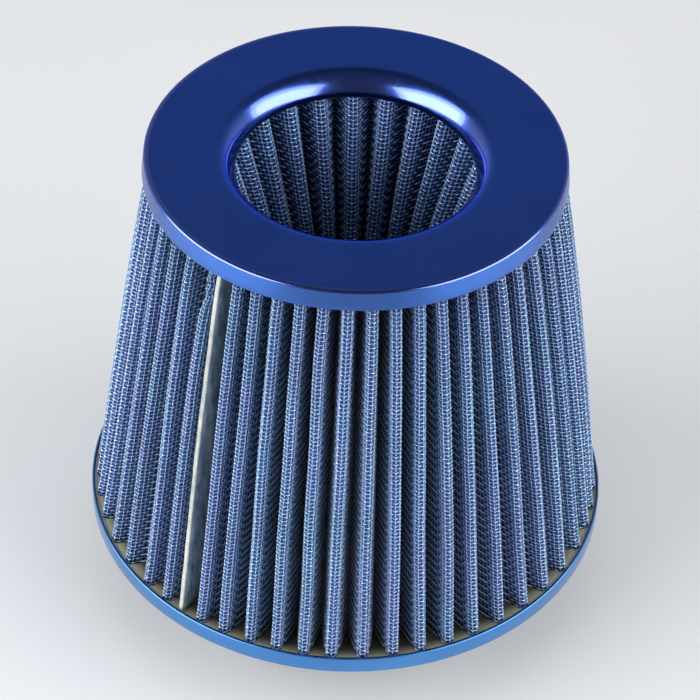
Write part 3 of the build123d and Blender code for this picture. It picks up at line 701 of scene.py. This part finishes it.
def crest_depth(nt, co, pack, inward):
    """Millimetres behind the line of the crests, from the place on the pack."""
    flat_v = node(nt, "ShaderNodeVectorMath", operation="MULTIPLY")
    flat_v.inputs[1].default_value = (1000.0, 1000.0, 0.0)
    nt.links.new(co, flat_v.inputs[0])
    length = node(nt, "ShaderNodeVectorMath", operation="LENGTH")
    nt.links.new(flat_v.outputs[0], length.inputs[0])
    r = length.outputs["Value"]
    xyz = node(nt, "ShaderNodeSeparateXYZ")
    nt.links.new(co, xyz.inputs[0])
    tau = remap(nt, xyz.outputs[2], pack.z[0] * MM, pack.z[1] * MM, 0.0, 1.0)
    back = pack.depth if inward else 0.0
    line = math_node(nt, "ADD", math_node(nt, "MULTIPLY", tau, pack.r[1] - pack.r[0]), pack.r[0] - back)
    swell = math_node(nt, "MULTIPLY", math_node(nt, "MULTIPLY", tau, math_node(nt, "SUBTRACT", 1.0, tau)), 4.0 * pack.bulge)
    line = math_node(nt, "ADD", line, swell)
    if pack.tuck:
        fade = math_node(nt, "EXPONENT", remap(nt, xyz.outputs[2], (pack.z[1] - 40.0) * MM, pack.z[1] * MM, -8.0, 0.0))
        line = math_node(nt, "SUBTRACT", line, math_node(nt, "MULTIPLY", fade, pack.tuck))
    return math_node(nt, "SUBTRACT", r, line) if inward else math_node(nt, "SUBTRACT", line, r)


def wire_metal(name, pack, inward, stops, metal, rough, coat, knuckle, highlight_pale, ends):
    """Blue-coated wire. stops run over 10 mm of depth behind the crests and paint the valleys' light and shade. knuckle
    is the painted shade where a wire passes under and the painted highlight where it passes over, and highlight_pale
    how far that highlight is mixed towards a pale blue-white; ends are painted shade at the pack's lower and upper end."""
    m, nt, b = material(name)
    co = object_coord(nt)
    deep = math_node(nt, "MULTIPLY", crest_depth(nt, co, pack, inward), 0.1)
    big = noise(nt, co, 60.0, 2.0)
    small = noise(nt, co, 700.0, 2.0)
    attr = node(nt, "ShaderNodeAttribute", attribute_type="GEOMETRY", attribute_name="lift")
    lift = attr.outputs["Fac"]
    # painted light and shade: the colour follows the depth behind the crests
    shade = ramp(nt, deep, stops)
    # the coating's tone drifts along the cloth
    tint = node(nt, "ShaderNodeVectorMath", operation="MULTIPLY")
    nt.links.new(shade, tint.inputs[0])
    nt.links.new(ramp(nt, noise(nt, co, 34.0, 2.0), [(0.38, (0.92, 1.04, 0.98)), (0.62, (1.04, 0.97, 1.02))]), tint.inputs[1])
    # painted highlight: where a wire passes over, its colour goes pale
    shade = mix(nt, remap(nt, lift, 0.2, 1.0, 0.0, highlight_pale), tint.outputs[0], (0.82, 0.87, 0.95))
    grey = remap(nt, math_node(nt, "ADD", math_node(nt, "MULTIPLY", big, 0.4), math_node(nt, "MULTIPLY", small, 0.6)), 0.3, 0.7, 0.72, 1.12)
    # painted shade and highlight: darker where a wire passes under, lighter where it passes over
    grey = math_node(nt, "MULTIPLY", grey, remap(nt, lift, -1.0, 1.0, *knuckle))
    xyz = node(nt, "ShaderNodeSeparateXYZ")
    nt.links.new(co, xyz.inputs[0])
    # painted shade at the pack's lower and upper end
    if ends[0] < 1.0:
        grey = math_node(nt, "MULTIPLY", grey, remap(nt, xyz.outputs[2], pack.z[0] * MM, pack.z[1] * MM, ends[0], 1.0))
    if ends[1] < 1.0:
        grey = math_node(nt, "MULTIPLY", grey, remap(nt, xyz.outputs[2], (pack.z[1] - 36.0) * MM, (pack.z[1] - 4.0) * MM, 1.0, ends[1]))
    scale = node(nt, "ShaderNodeVectorMath", operation="SCALE")
    nt.links.new(shade, scale.inputs[0])
    nt.links.new(grey, scale.inputs["Scale"])
    nt.links.new(scale.outputs[0], b.inputs["Base Color"])
    b.inputs["Metallic"].default_value = metal
    nt.links.new(remap(nt, small, 0.3, 0.7, rough - 0.07, rough + 0.09), b.inputs["Roughness"])
    b.inputs["Specular IOR Level"].default_value = 0.25 + 0.6 * coat
    b.inputs["Coat Weight"].default_value = coat
    b.inputs["Coat Roughness"].default_value = 0.22
    return m


def gauze_cloth(name, pack, inward, stops):
    m, nt, b = material(name)
    co = object_coord(nt)
    w = noise(nt, co, 900.0, 3.0)
    patch = noise(nt, co, 45.0, 2.0)
    deep = math_node(nt, "MULTIPLY", crest_depth(nt, co, pack, inward), 0.1)
    # painted shade: the gauze darkens with depth behind the crests, in the valleys
    shade = ramp(nt, deep, stops)
    grey = remap(nt, math_node(nt, "ADD", math_node(nt, "MULTIPLY", w, 0.6), math_node(nt, "MULTIPLY", patch, 0.4)), 0.3, 0.7, 0.55, 1.25)
    scale = node(nt, "ShaderNodeVectorMath", operation="SCALE")
    nt.links.new(shade, scale.inputs[0])
    nt.links.new(grey, scale.inputs["Scale"])
    nt.links.new(scale.outputs[0], b.inputs["Base Color"])
    b.inputs["Roughness"].default_value = 0.72
    b.inputs["Specular IOR Level"].default_value = 0.3
    bump(nt, b, w, 0.5, 0.0002)
    return m


def woven(name):
    """Wire cloth as a pattern over its own run and rise, for the clean sides that lie deep inside."""
    m, nt, b = material(name)
    uv = node(nt, "ShaderNodeUVMap")
    uv.uv_map = "cloth"
    xyz = node(nt, "ShaderNodeSeparateXYZ")
    nt.links.new(uv.outputs[0], xyz.inputs[0])
    wires_on = []
    parity = math_node(nt, "ADD", math_node(nt, "FLOOR", xyz.outputs[0]), math_node(nt, "FLOOR", xyz.outputs[1]))
    over = math_node(nt, "MODULO", math_node(nt, "ABSOLUTE", parity), 2.0)
    for axis, flip in ((0, False), (1, True)):
        f = math_node(nt, "FRACT", xyz.outputs[axis])
        d = math_node(nt, "ABSOLUTE", math_node(nt, "SUBTRACT", f, 0.5))
        on = remap(nt, d, 0.13, 0.19, 1.0, 0.0)
        lift = remap(nt, over, 0.0, 1.0, 0.55, 1.0) if flip else remap(nt, over, 0.0, 1.0, 1.0, 0.55)
        wires_on.append((on, math_node(nt, "MULTIPLY", on, lift)))
    any_on = math_node(nt, "MAXIMUM", wires_on[0][0], wires_on[1][0])
    height = math_node(nt, "MAXIMUM", wires_on[0][1], wires_on[1][1])
    co = object_coord(nt)
    n1 = noise(nt, co, 300.0, 2.0)
    wire = ramp(nt, n1, [(0.3, (0.13, 0.20, 0.42)), (0.7, (0.22, 0.31, 0.58))])
    col = mix(nt, any_on, (0.012, 0.017, 0.045), wire)
    nt.links.new(col, b.inputs["Base Color"])
    nt.links.new(math_node(nt, "MULTIPLY", any_on, 0.6), b.inputs["Metallic"])
    nt.links.new(remap(nt, any_on, 0.0, 1.0, 0.75, 0.38), b.inputs["Roughness"])
    bump(nt, b, height, 0.8, 0.0004)
    return m


def bare_strip(name, pack, inward):
    """Folded strip: lighter on its edge as a painted highlight, dull and mottled on its sides."""
    m, nt, b = material(name)
    co = object_coord(nt)
    streak = noise(nt, co, 260.0, 3.0, 0.6, stretch=(1.0, 1.0, 0.06))
    blot = noise(nt, co, 420.0, 4.0, 0.65, stretch=(1.0, 1.0, 0.45))
    f = math_node(nt, "ADD", math_node(nt, "MULTIPLY", streak, 0.45), math_node(nt, "MULTIPLY", blot, 0.55))
    side = ramp(nt, f, [(0.38, (0.11, 0.17, 0.23)), (0.50, (0.27, 0.36, 0.42)), (0.64, (0.54, 0.62, 0.65))])
    edge = ramp(nt, f, [(0.36, (0.29, 0.31, 0.29)), (0.60, (0.60, 0.62, 0.57))])
    # painted highlight: the strip is lighter within half a millimetre of the crest line
    edge_highlight = remap(nt, crest_depth(nt, co, pack, inward), 0.15, 0.50, 1.0, 0.0)
    nt.links.new(mix(nt, edge_highlight, side, edge), b.inputs["Base Color"])
    b.inputs["Metallic"].default_value = 0.35
    nt.links.new(remap(nt, f, 0.3, 0.7, 0.48, 0.32), b.inputs["Roughness"])
    bump(nt, b, f, 0.22, 0.0002)
    return m


def resin(name, painted_shade):
    m, nt, b = material(name)
    co = object_coord(nt)
    n1 = noise(nt, co, 120.0, 4.0)
    col = ramp(nt, n1, [(0.3, (0.58, 0.58, 0.44)), (0.7, (0.74, 0.74, 0.58))])
    if painted_shade:
        # painted shade: the resin darkens towards the pleats' roots, where shade falls between the pleats
        deep = math_node(nt, "MULTIPLY", crest_depth(nt, co, outer, False), 0.1)
        valley_shade = ramp(nt, math_node(nt, "ADD", deep, math_node(nt, "MULTIPLY", math_node(nt, "SUBTRACT", n1, 0.5), 0.25)),
                   [(0.04, (1.0, 1.0, 1.0)), (0.16, (0.55, 0.53, 0.50)), (0.36, (0.14, 0.13, 0.12))])
        mul = node(nt, "ShaderNodeVectorMath", operation="MULTIPLY")
        nt.links.new(col, mul.inputs[0])
        nt.links.new(valley_shade, mul.inputs[1])
        # painted shade: the front side, away from the lamps at the sides, is darker
        xyz = node(nt, "ShaderNodeSeparateXYZ")
        nt.links.new(co, xyz.inputs[0])
        front_shade = remap(nt, math_node(nt, "ADD", xyz.outputs[1], math_node(nt, "MULTIPLY", n1, 0.012)), -0.066, -0.030, 0.42, 1.0)
        dim = node(nt, "ShaderNodeVectorMath", operation="SCALE")
        nt.links.new(mul.outputs[0], dim.inputs[0])
        nt.links.new(front_shade, dim.inputs["Scale"])
        col = dim.outputs[0]
    nt.links.new(col, b.inputs["Base Color"])
    nt.links.new(remap(nt, n1, 0.3, 0.7, 0.38, 0.6), b.inputs["Roughness"])
    bump(nt, b, noise(nt, co, 300.0, 3.0), 0.35, 0.0004)
    return m


def black_plastic():
    m, nt, b = material("black_moulding")
    co = object_coord(nt)
    n1 = noise(nt, co, 700.0, 3.0)
    n2 = noise(nt, co, 25.0, 2.0)
    col = ramp(nt, n2, [(0.3, (0.011, 0.011, 0.012)), (0.7, (0.019, 0.019, 0.021))])
    nt.links.new(col, b.inputs["Base Color"])
    nt.links.new(remap(nt, n1, 0.3, 0.7, 0.36, 0.52), b.inputs["Roughness"])
    bump(nt, b, n1, 0.3, 0.00008)
    return m


def steel(name, dark, light, rough, stretch, marks=1.0):
    m, nt, b = material(name)
    co = object_coord(nt)
    s = noise(nt, co, 500.0, 3.0, 0.6, stretch=stretch)
    n2 = noise(nt, co, 70.0, 2.0)
    col = ramp(nt, math_node(nt, "ADD", math_node(nt, "MULTIPLY", s, 0.5), math_node(nt, "MULTIPLY", n2, 0.5)), [(0.3, dark), (0.7, light)])
    nt.links.new(col, b.inputs["Base Color"])
    b.inputs["Metallic"].default_value = 1.0
    nt.links.new(remap(nt, s, 0.3, 0.7, rough - 0.08 * marks, rough + 0.08 * marks), b.inputs["Roughness"])
    bump(nt, b, s, 0.05 * marks, 0.00003)
    return m


M_blue = anodised("blue_anodised_aluminium", (0.030, 0.074, 0.350), (0.034, 0.083, 0.385), 0.215, 0.03, True, True, coat_rough=0.07)
M_skirt = anodised("blue_anodised_skirt", (0.022, 0.100, 0.395), (0.027, 0.110, 0.422), 0.34, 0.55, False, turned=0.85, coat_rough=0.46)
M_azure = anodised("blue_anodised_band", (0.052, 0.225, 0.56), (0.066, 0.255, 0.61), 0.30, 0.5, False)
# painted shade: a dark copy of the band's anodising for its top edge and inside
M_band_shade = anodised("blue_anodised_cut_edge", (0.010, 0.028, 0.085), (0.014, 0.036, 0.110), 0.34, 0.2, False)
# The outer wires keep about their crest brightness deep in the valleys and turn greyer there, painted light against the
# shade between the pleats; their ends setting paints shade under the top ring.
M_wire = wire_metal("blue_wire_cloth", outer, False,
                    [(0.06, (0.44, 0.64, 0.98)), (0.24, (0.42, 0.63, 1.0)), (0.5, (0.50, 0.66, 0.94)), (1.0, (0.50, 0.59, 0.74))],
                    0.5, 0.34, 0.6, (0.26, 1.34), 0.32, (1.0, 0.82))
# Painted shade: the crest uprights are a darker copy of the crest wires.
M_wire_up = wire_metal("blue_wire_cloth_crest_uprights", outer, False,
                       [(0.06, (0.38, 0.58, 0.98)), (0.24, (0.33, 0.54, 1.0)), (0.5, (0.38, 0.57, 0.94))],
                       0.5, 0.36, 0.4, (0.26, 1.08), 0.22, (1.0, 0.82))
# Painted shade: the flank uprights are duller and darken with depth into the valleys.
M_wire_dull_shaded = wire_metal("blue_wire_cloth_uprights", outer, False,
                         [(0.2, (0.35, 0.58, 1.0)), (0.4, (0.25, 0.39, 0.72)), (1.0, (0.14, 0.20, 0.34))], 0.4, 0.42, 0.2, (0.8, 1.2), 0.0, (1.0, 0.82))
# Painted shade: the mouth's wires darken with depth into the valleys and towards the mouth's lower end.
M_wire_cone = wire_metal("blue_wire_cloth_mouth", cone, True,
                         [(0.06, (0.34, 0.57, 1.0)), (0.22, (0.28, 0.50, 1.0)), (0.5, (0.15, 0.28, 0.66)), (1.0, (0.07, 0.13, 0.30))],
                         0.5, 0.28, 0.25, (0.22, 2.2), 0.50, (0.40, 1.0))
# Painted shade: the mouth's crest uprights are a darker copy of its crest wires.
M_wire_cone_up = wire_metal("blue_wire_cloth_mouth_crest_uprights", cone, True,
                            [(0.06, (0.32, 0.55, 1.0)), (0.22, (0.27, 0.49, 1.0)), (0.5, (0.17, 0.32, 0.74))],
                            0.5, 0.30, 0.25, (0.22, 1.8), 0.42, (0.40, 1.0))
# Painted shade: the mouth's flank uprights are duller and darken with depth into the valleys.
M_wire_cone_dull_shaded = wire_metal("blue_wire_cloth_mouth_uprights", cone, True,
                              [(0.2, (0.25, 0.46, 0.98)), (0.4, (0.11, 0.20, 0.46)), (1.0, (0.05, 0.09, 0.22))], 0.4, 0.4, 0.1, (0.8, 1.2), 0.0, (0.40, 1.0))
M_weave = woven("blue_wire_cloth_clean_side")
# Painted shade: the gauze darkens with depth into the valleys, and the mouth's copy is darker throughout.
M_gauze = gauze_cloth("oiled_gauze", outer, False, [(0.08, (0.038, 0.096, 0.345)), (0.35, (0.028, 0.066, 0.245)), (0.7, (0.016, 0.028, 0.068))])
M_gauze_cone = gauze_cloth("oiled_gauze_mouth", cone, True, [(0.08, (0.020, 0.054, 0.24)), (0.35, (0.016, 0.037, 0.155)), (0.7, (0.010, 0.017, 0.05))])
M_clip = bare_strip("bare_steel_clip", outer, False)
M_clip_cone = bare_strip("bare_steel_clip_mouth", cone, False)
M_resin = resin("beige_resin", False)
M_resin_base = resin("beige_resin_base", True)
M_black = black_plastic()
M_band = steel("clamp_steel", (0.57, 0.57, 0.57), (0.61, 0.61, 0.60), 0.27, (0.04, 0.04, 2.0), 0.3)
M_screw = steel("screw_steel", (0.50, 0.48, 0.42), (0.66, 0.64, 0.57), 0.34, None)


def paint(names, m):
    for x in names:
        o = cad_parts[x]
        o.data.materials.clear()
        o.data.materials.append(m)


paint(["top_resin", "cap_resin"], M_resin)
paint(["base_resin"], M_resin_base)
paint(["base_moulding", "cone_end_cap"], M_black)
paint(["clamp_band", "clamp_housing"], M_band)
paint(["clamp_screw"], M_screw)

# ------------------------------------------------------------------ rings
z = TOP_Z
turn = math.radians(LIP_TURN)
lip_c = (LIP_START_R, z - LIP_R)
lip_c2 = (lip_c[0] + (LIP_R2 - LIP_R) * math.sin(turn), lip_c[1] - (LIP_R2 - LIP_R) * math.cos(turn))
skirt_tilt = math.degrees(math.atan2(TOP_R - TOP_FLAT_R, SKIRT_H))


def skirt_r(drop, inset):
    """Radius of the flaring skirt's face, or of a face inset behind it, at a drop below the flat."""
    a = math.radians(skirt_tilt)
    return TOP_FLAT_R + (drop * math.sin(a) - inset) / math.cos(a)


edge_c = (skirt_r(TOP_EDGE_R, TOP_EDGE_R), z - TOP_EDGE_R)
flat = [(r, z) for r in np.linspace(edge_c[0], LIP_START_R, 12)[1:-1]]
lip_face = arc(lip_c, LIP_R, 90, 90 + LIP_TURN, 13) + arc(lip_c2, LIP_R2, 90 + LIP_TURN, 90 + LIP_TURN2, 13)[1:]
lip_back = (arc(lip_c2, LIP_R2 - TOP_T, 90 + LIP_TURN2, 90 + LIP_TURN, 8)
            + arc(lip_c, LIP_R - TOP_T, 90 + LIP_TURN, 90, 8)[1:])
lip_r = lip_face[-1][0]
top_profile = (
    arc(edge_c, TOP_EDGE_R, skirt_tilt, 90, 12) + flat + lip_face
    + [(lip_r, LIP_END_Z + 0.45)]
    + arc((lip_r + TOP_T / 2, LIP_END_Z + TOP_T / 2), TOP_T / 2, 180, 360, 7)[1:]
    + lip_back
    + [(skirt_r(TOP_T, TOP_T) - 0.1, z - TOP_T), (skirt_r(TOP_T + 0.1, TOP_T), z - TOP_T - 0.1)]
    + arc((skirt_r(SKIRT_H - TOP_T / 2, TOP_T / 2), z - SKIRT_H + TOP_T / 2), TOP_T / 2, 180 + skirt_tilt, 360 + skirt_tilt, 7)
    + [(skirt_r(SKIRT_H * a, 0.0), z - SKIRT_H * a) for a in (0.6, 0.35)])
v, f = revolve(top_profile, 320)
v[:, 0] -= 0.3            # pressed on a little out of line
top_ring = mesh_object("bell_mouth_ring", v, f)
top_ring.data.materials.append(M_blue)
top_ring.data.materials.append(M_skirt)
for f in top_ring.data.polygons:
    if math.hypot(f.center.x, f.center.y) > (TOP_FLAT_R - 0.2) * MM and f.center.z < (z - TOP_EDGE_R) * MM:
        f.material_index = 1
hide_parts("top_ring")

z0, e = NECK_LEN, BASE_EDGE_R
c = (BASE_R - e, z0 + e)
base_profile = (
    arc((BASE_FLANGE_R + 0.4, z0 + BASE_WALL / 2), BASE_WALL / 2, 90, 270, 7)
    + [(BASE_R - e - 2.0, z0)]
    + arc(c, e, -90, 0, 7)
    + [(BASE_R, z0 + BASE_H * 0.5)]
    + arc((BASE_R - 0.35, z0 + BASE_H - 0.35), 0.35, 0, 90, 6) + [(BASE_R - 0.48, z0 + BASE_H)]
    + arc((BASE_R - BASE_WALL + 0.1, z0 + BASE_H - 0.1), 0.1, 90, 180, 4)
    + [(BASE_R - BASE_WALL, z0 + BASE_WALL + 0.2), (BASE_R - BASE_WALL - 0.2, z0 + BASE_WALL)])
v, f = revolve(base_profile, 320)
base_ring = mesh_object("base_band_ring", v, f)
base_ring.data.materials.append(M_azure)
base_ring.data.materials.append(M_band_shade)
for f in base_ring.data.polygons:
    # painted shade: the top edge and the inside of the band are dark, for the shade between band and pleats
    if (math.hypot(f.center.x, f.center.y) < (BASE_R - 0.45) * MM and f.center.z > (z0 + BASE_WALL) * MM):
        f.material_index = 1
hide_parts("base_ring")

# ------------------------------------------------------------------ gauze and wire cloth
outer_rows = np.concatenate([np.linspace(OUT_LOW_Z, NECK_LEN + 98.0, 9), np.linspace(NECK_LEN + 102.0, OUT_HIGH_Z, 9)])
cone_rows = np.linspace(CONE_LOW_Z, CONE_HIGH_Z, 10)
for pack, key, zs, span, back, back_name, m_g in (
        (outer, "outer", outer_rows, (0.60, 1.00), (1.02, 1.4), "outer_mesh_inside", M_gauze),
        (cone, "cone", cone_rows, (0.40, 0.80), (0.0, 0.38), "cone_mesh_clean_side", M_gauze_cone)):
    v, f, run = sheet_mesh(pack, zs, span[0], span[1], coarse)
    o = mesh_object(f"{key}_gauze_sheet", v, f)
    o.data.materials.append(m_g)
    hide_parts(f"{key}_gauze")
    v, f, run = sheet_mesh(pack, zs, back[0], back[1], coarse)
    rise = np.broadcast_to(zs[:, None], run.shape)
    laid = np.stack([run, rise], -1).reshape(-1, 2) / PITCH
    o = mesh_object(f"{back_name}_cloth", v, f, cloth=np.concatenate([laid, laid]))
    o.data.materials.append(M_weave)
    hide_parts(back_name)

out_levels = np.arange(BASE_RESIN_TOP + 0.3, TOP_RESIN_LOW + 0.6, PITCH * 0.99)
for o in wires(outer, out_levels, 0.19, False, "outer", M_wire, M_wire_up, M_wire_dull_shaded, 3, 4, 9):
    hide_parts("outer_mesh_outside")
cone_levels = np.arange(CAP_TOP_Z - 1.0, TOP_RESIN_LOW + 0.6, PITCH * 0.958)
for o in wires(cone, cone_levels, SHEET_T - 0.19, True, "cone", M_wire_cone, M_wire_cone_up, M_wire_cone_dull_shaded, 1, 4, 7):
    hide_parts("cone_mesh_mouth_side")


# ------------------------------------------------------------------ seam clips
def clip_piece(name, pack, deg, z_low, z_high, depth, rows, seed):
    g = np.random.default_rng(seed)
    h, w, c = CLIP_HALF, CLIP_WALL, CLIP_BEND_R
    sec = [(-depth, h)] + [(x, h) for x in np.linspace(-depth, -c, 6)[1:]]
    sec += [(-c + c * math.sin(a), h - c * (1 - math.cos(a))) for a in np.linspace(0, math.pi / 2, 6)[1:]]
    sec += [(x, -y) for x, y in sec[::-1]]
    inner = [(-depth, -(h - w)), (-w - 0.1, -(h - w)), (-w - 0.1, h - w), (-depth, h - w)]
    sec = np.array(sec + inner)
    zs = np.linspace(z_low, z_high, rows)
    s = pack.shape(zs)
    u = s["uA"][:, 0]
    vv = left2(u)
    wave = 0.05 * np.sin(zs * 0.11 + 1.3) + 0.03 * np.sin(zs * 0.43) + 0.02 * g.normal(size=rows)
    pts = u[:, None] * (s["r"][:, None] + sec[None, :, 0])[..., None] + vv[:, None] * (sec[None, :, 1] + wave[:, None])[..., None]
    pts = np.concatenate([pts, np.broadcast_to(zs[:, None, None], (*pts.shape[:2], 1))], -1)
    m = len(sec)
    idx = np.arange(rows * m).reshape(rows, m)
    quads = np.stack([idx[:-1], np.roll(idx[:-1], -1, 1), np.roll(idx[1:], -1, 1), idx[1:]], -1).reshape(-1, 4)[:, ::-1]
    caps = [idx[0][None, :], idx[-1][None, ::-1]]
    o = mesh_object(name, pts.reshape(-1, 3), [quads, *caps])
    o.data.materials.append(M_clip if pack is outer else M_clip_cone)
    return o


o = clip_piece("outer_seam_channel", outer, OUT_SEAM, BASE_RESIN_TOP + 0.05, TOP_RESIN_LOW - 0.2, CLIP_DEPTH, 60, 5)
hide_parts("outer_seam_clip")
o = clip_piece("cone_seam_channel", cone, 0, CAP_TOP_Z + 0.1, TOP_RESIN_LOW - 0.2, CONE_CLIP_DEPTH, 30, 6)
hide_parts("cone_seam_clip")

# ------------------------------------------------------------------ stage
def floor_material():
    m, nt, b = material("table")
    co = object_coord(nt)
    col = ramp(nt, noise(nt, co, 3.0, 2.0), [(0.3, (0.715, 0.724, 0.741)), (0.7, (0.735, 0.744, 0.761))])
    nt.links.new(col, b.inputs["Base Color"])
    b.inputs["Roughness"].default_value = 0.6
    b.inputs["Specular IOR Level"].default_value = 0.3
    return m


me = bpy.data.meshes.new("table")
S = 3.0
me.from_pydata([(-S, -S, 0), (S, -S, 0), (S, S, 0), (-S, S, 0)], [], [(0, 1, 2, 3)])
floor = bpy.data.objects.new("table", me)
floor.data.materials.append(floor_material())
bpy.context.scene.collection.objects.link(floor)

scene = bpy.context.scene
scene.view_settings.view_transform = "Standard"
scene.view_settings.look = "None"
world = bpy.data.worlds.new("studio")
world.use_nodes = True
wt = world.node_tree
bg = wt.nodes["Background"]
bg.inputs[0].default_value = (0.93, 0.96, 1.0, 1.0)
way = node(wt, "ShaderNodeSeparateXYZ")
wt.links.new(node(wt, "ShaderNodeTexCoord").outputs["Generated"], way.inputs[0])
# a pale wall behind that dims upwards, and a dim room above and in front
wall = remap(wt, way.outputs[2], 0.0, 1.0, 1.0, 0.09)
behind = node(wt, "ShaderNodeMapRange", interpolation_type="SMOOTHSTEP")
for i, x in zip(("From Min", "From Max", "To Min", "To Max"), (-0.05, 0.40, 0.0, 1.0)):
    behind.inputs[i].default_value = x
wt.links.new(way.outputs[1], behind.inputs["Value"])
room = 0.17
glow = math_node(wt, "ADD", math_node(wt, "MULTIPLY", math_node(wt, "SUBTRACT", wall, room), behind.outputs[0]), room)
wt.links.new(glow, bg.inputs[1])
scene.world = world


def softbox(name, at, target, size, power, colour=(1.0, 1.0, 1.0)):
    d = bpy.data.lights.new(name, "AREA")
    d.shape = "RECTANGLE"
    d.size, d.size_y = size
    d.energy = power
    d.color = colour
    o = bpy.data.objects.new(name, d)
    scene.collection.objects.link(o)
    o.location = at
    o.rotation_euler = (Vector(target) - Vector(at)).to_track_quat("-Z", "Y").to_euler()
    return o


mid = (0.0, 0.0, 0.12)
softbox("softbox_left", (-0.86, -0.34, 0.46), mid, (1.25, 0.78), 15.7)
softbox("softbox_right", (0.86, -0.34, 0.46), mid, (1.25, 0.78), 12.8)
top = softbox("overhead", (0.0, 0.05, 1.6), mid, (1.6, 1.6), 4.6)
top.visible_glossy = False
# the two boxes' bright middles, for the blue bell mouth alone, so that its streaks burn out pale
ring_only = bpy.data.collections.new("lit_by_streak_lights")
ring_only.objects.link(top_ring)
for name, near, size, power in (("middle", 0.953, (1.12, 0.62), 2.9), ("core", 0.930, (0.92, 0.44), 4.6)):
    for x, side in ((-0.86, "left"), (0.86, "right")):
        at = [m + (c - m) * near for c, m in zip((x, -0.34, 0.46), mid)]
        o = softbox(f"{name}_{side}", at, mid, size, power, (1.0, 0.76, 0.58))
        o.visible_diffuse = False
        o.light_linking.receiver_collection = ring_only

# ------------------------------------------------------------------ camera, from the photograph's ellipses
F_PX, YC, ZC = 3034.1, 640.44, 638.30 + NECK_LEN
PITCH_A, YAW, ROLL = 0.739974, -0.00013, 0.0367236
fwd = Vector((math.sin(YAW) * math.cos(PITCH_A), math.cos(YAW) * math.cos(PITCH_A), -math.sin(PITCH_A)))
right = fwd.cross(Vector((0, 0, 1))).normalized()
up = right.cross(fwd)
r2 = math.cos(ROLL) * right + math.sin(ROLL) * up
u2 = -math.sin(ROLL) * right + math.cos(ROLL) * up
cam = bpy.data.cameras.new("photo_camera")
cam.sensor_width = 36.0
cam.lens = F_PX / 700.0 * 36.0
cam.clip_start, cam.clip_end = 0.01, 20.0
cam_o = bpy.data.objects.new("photo_camera", cam)
scene.collection.objects.link(cam_o)
rot = Matrix((r2, u2, -fwd)).transposed()
cam_o.matrix_world = Matrix.Translation((0.0, -YC * MM, ZC * MM)) @ rot.to_4x4()
scene.camera = cam_o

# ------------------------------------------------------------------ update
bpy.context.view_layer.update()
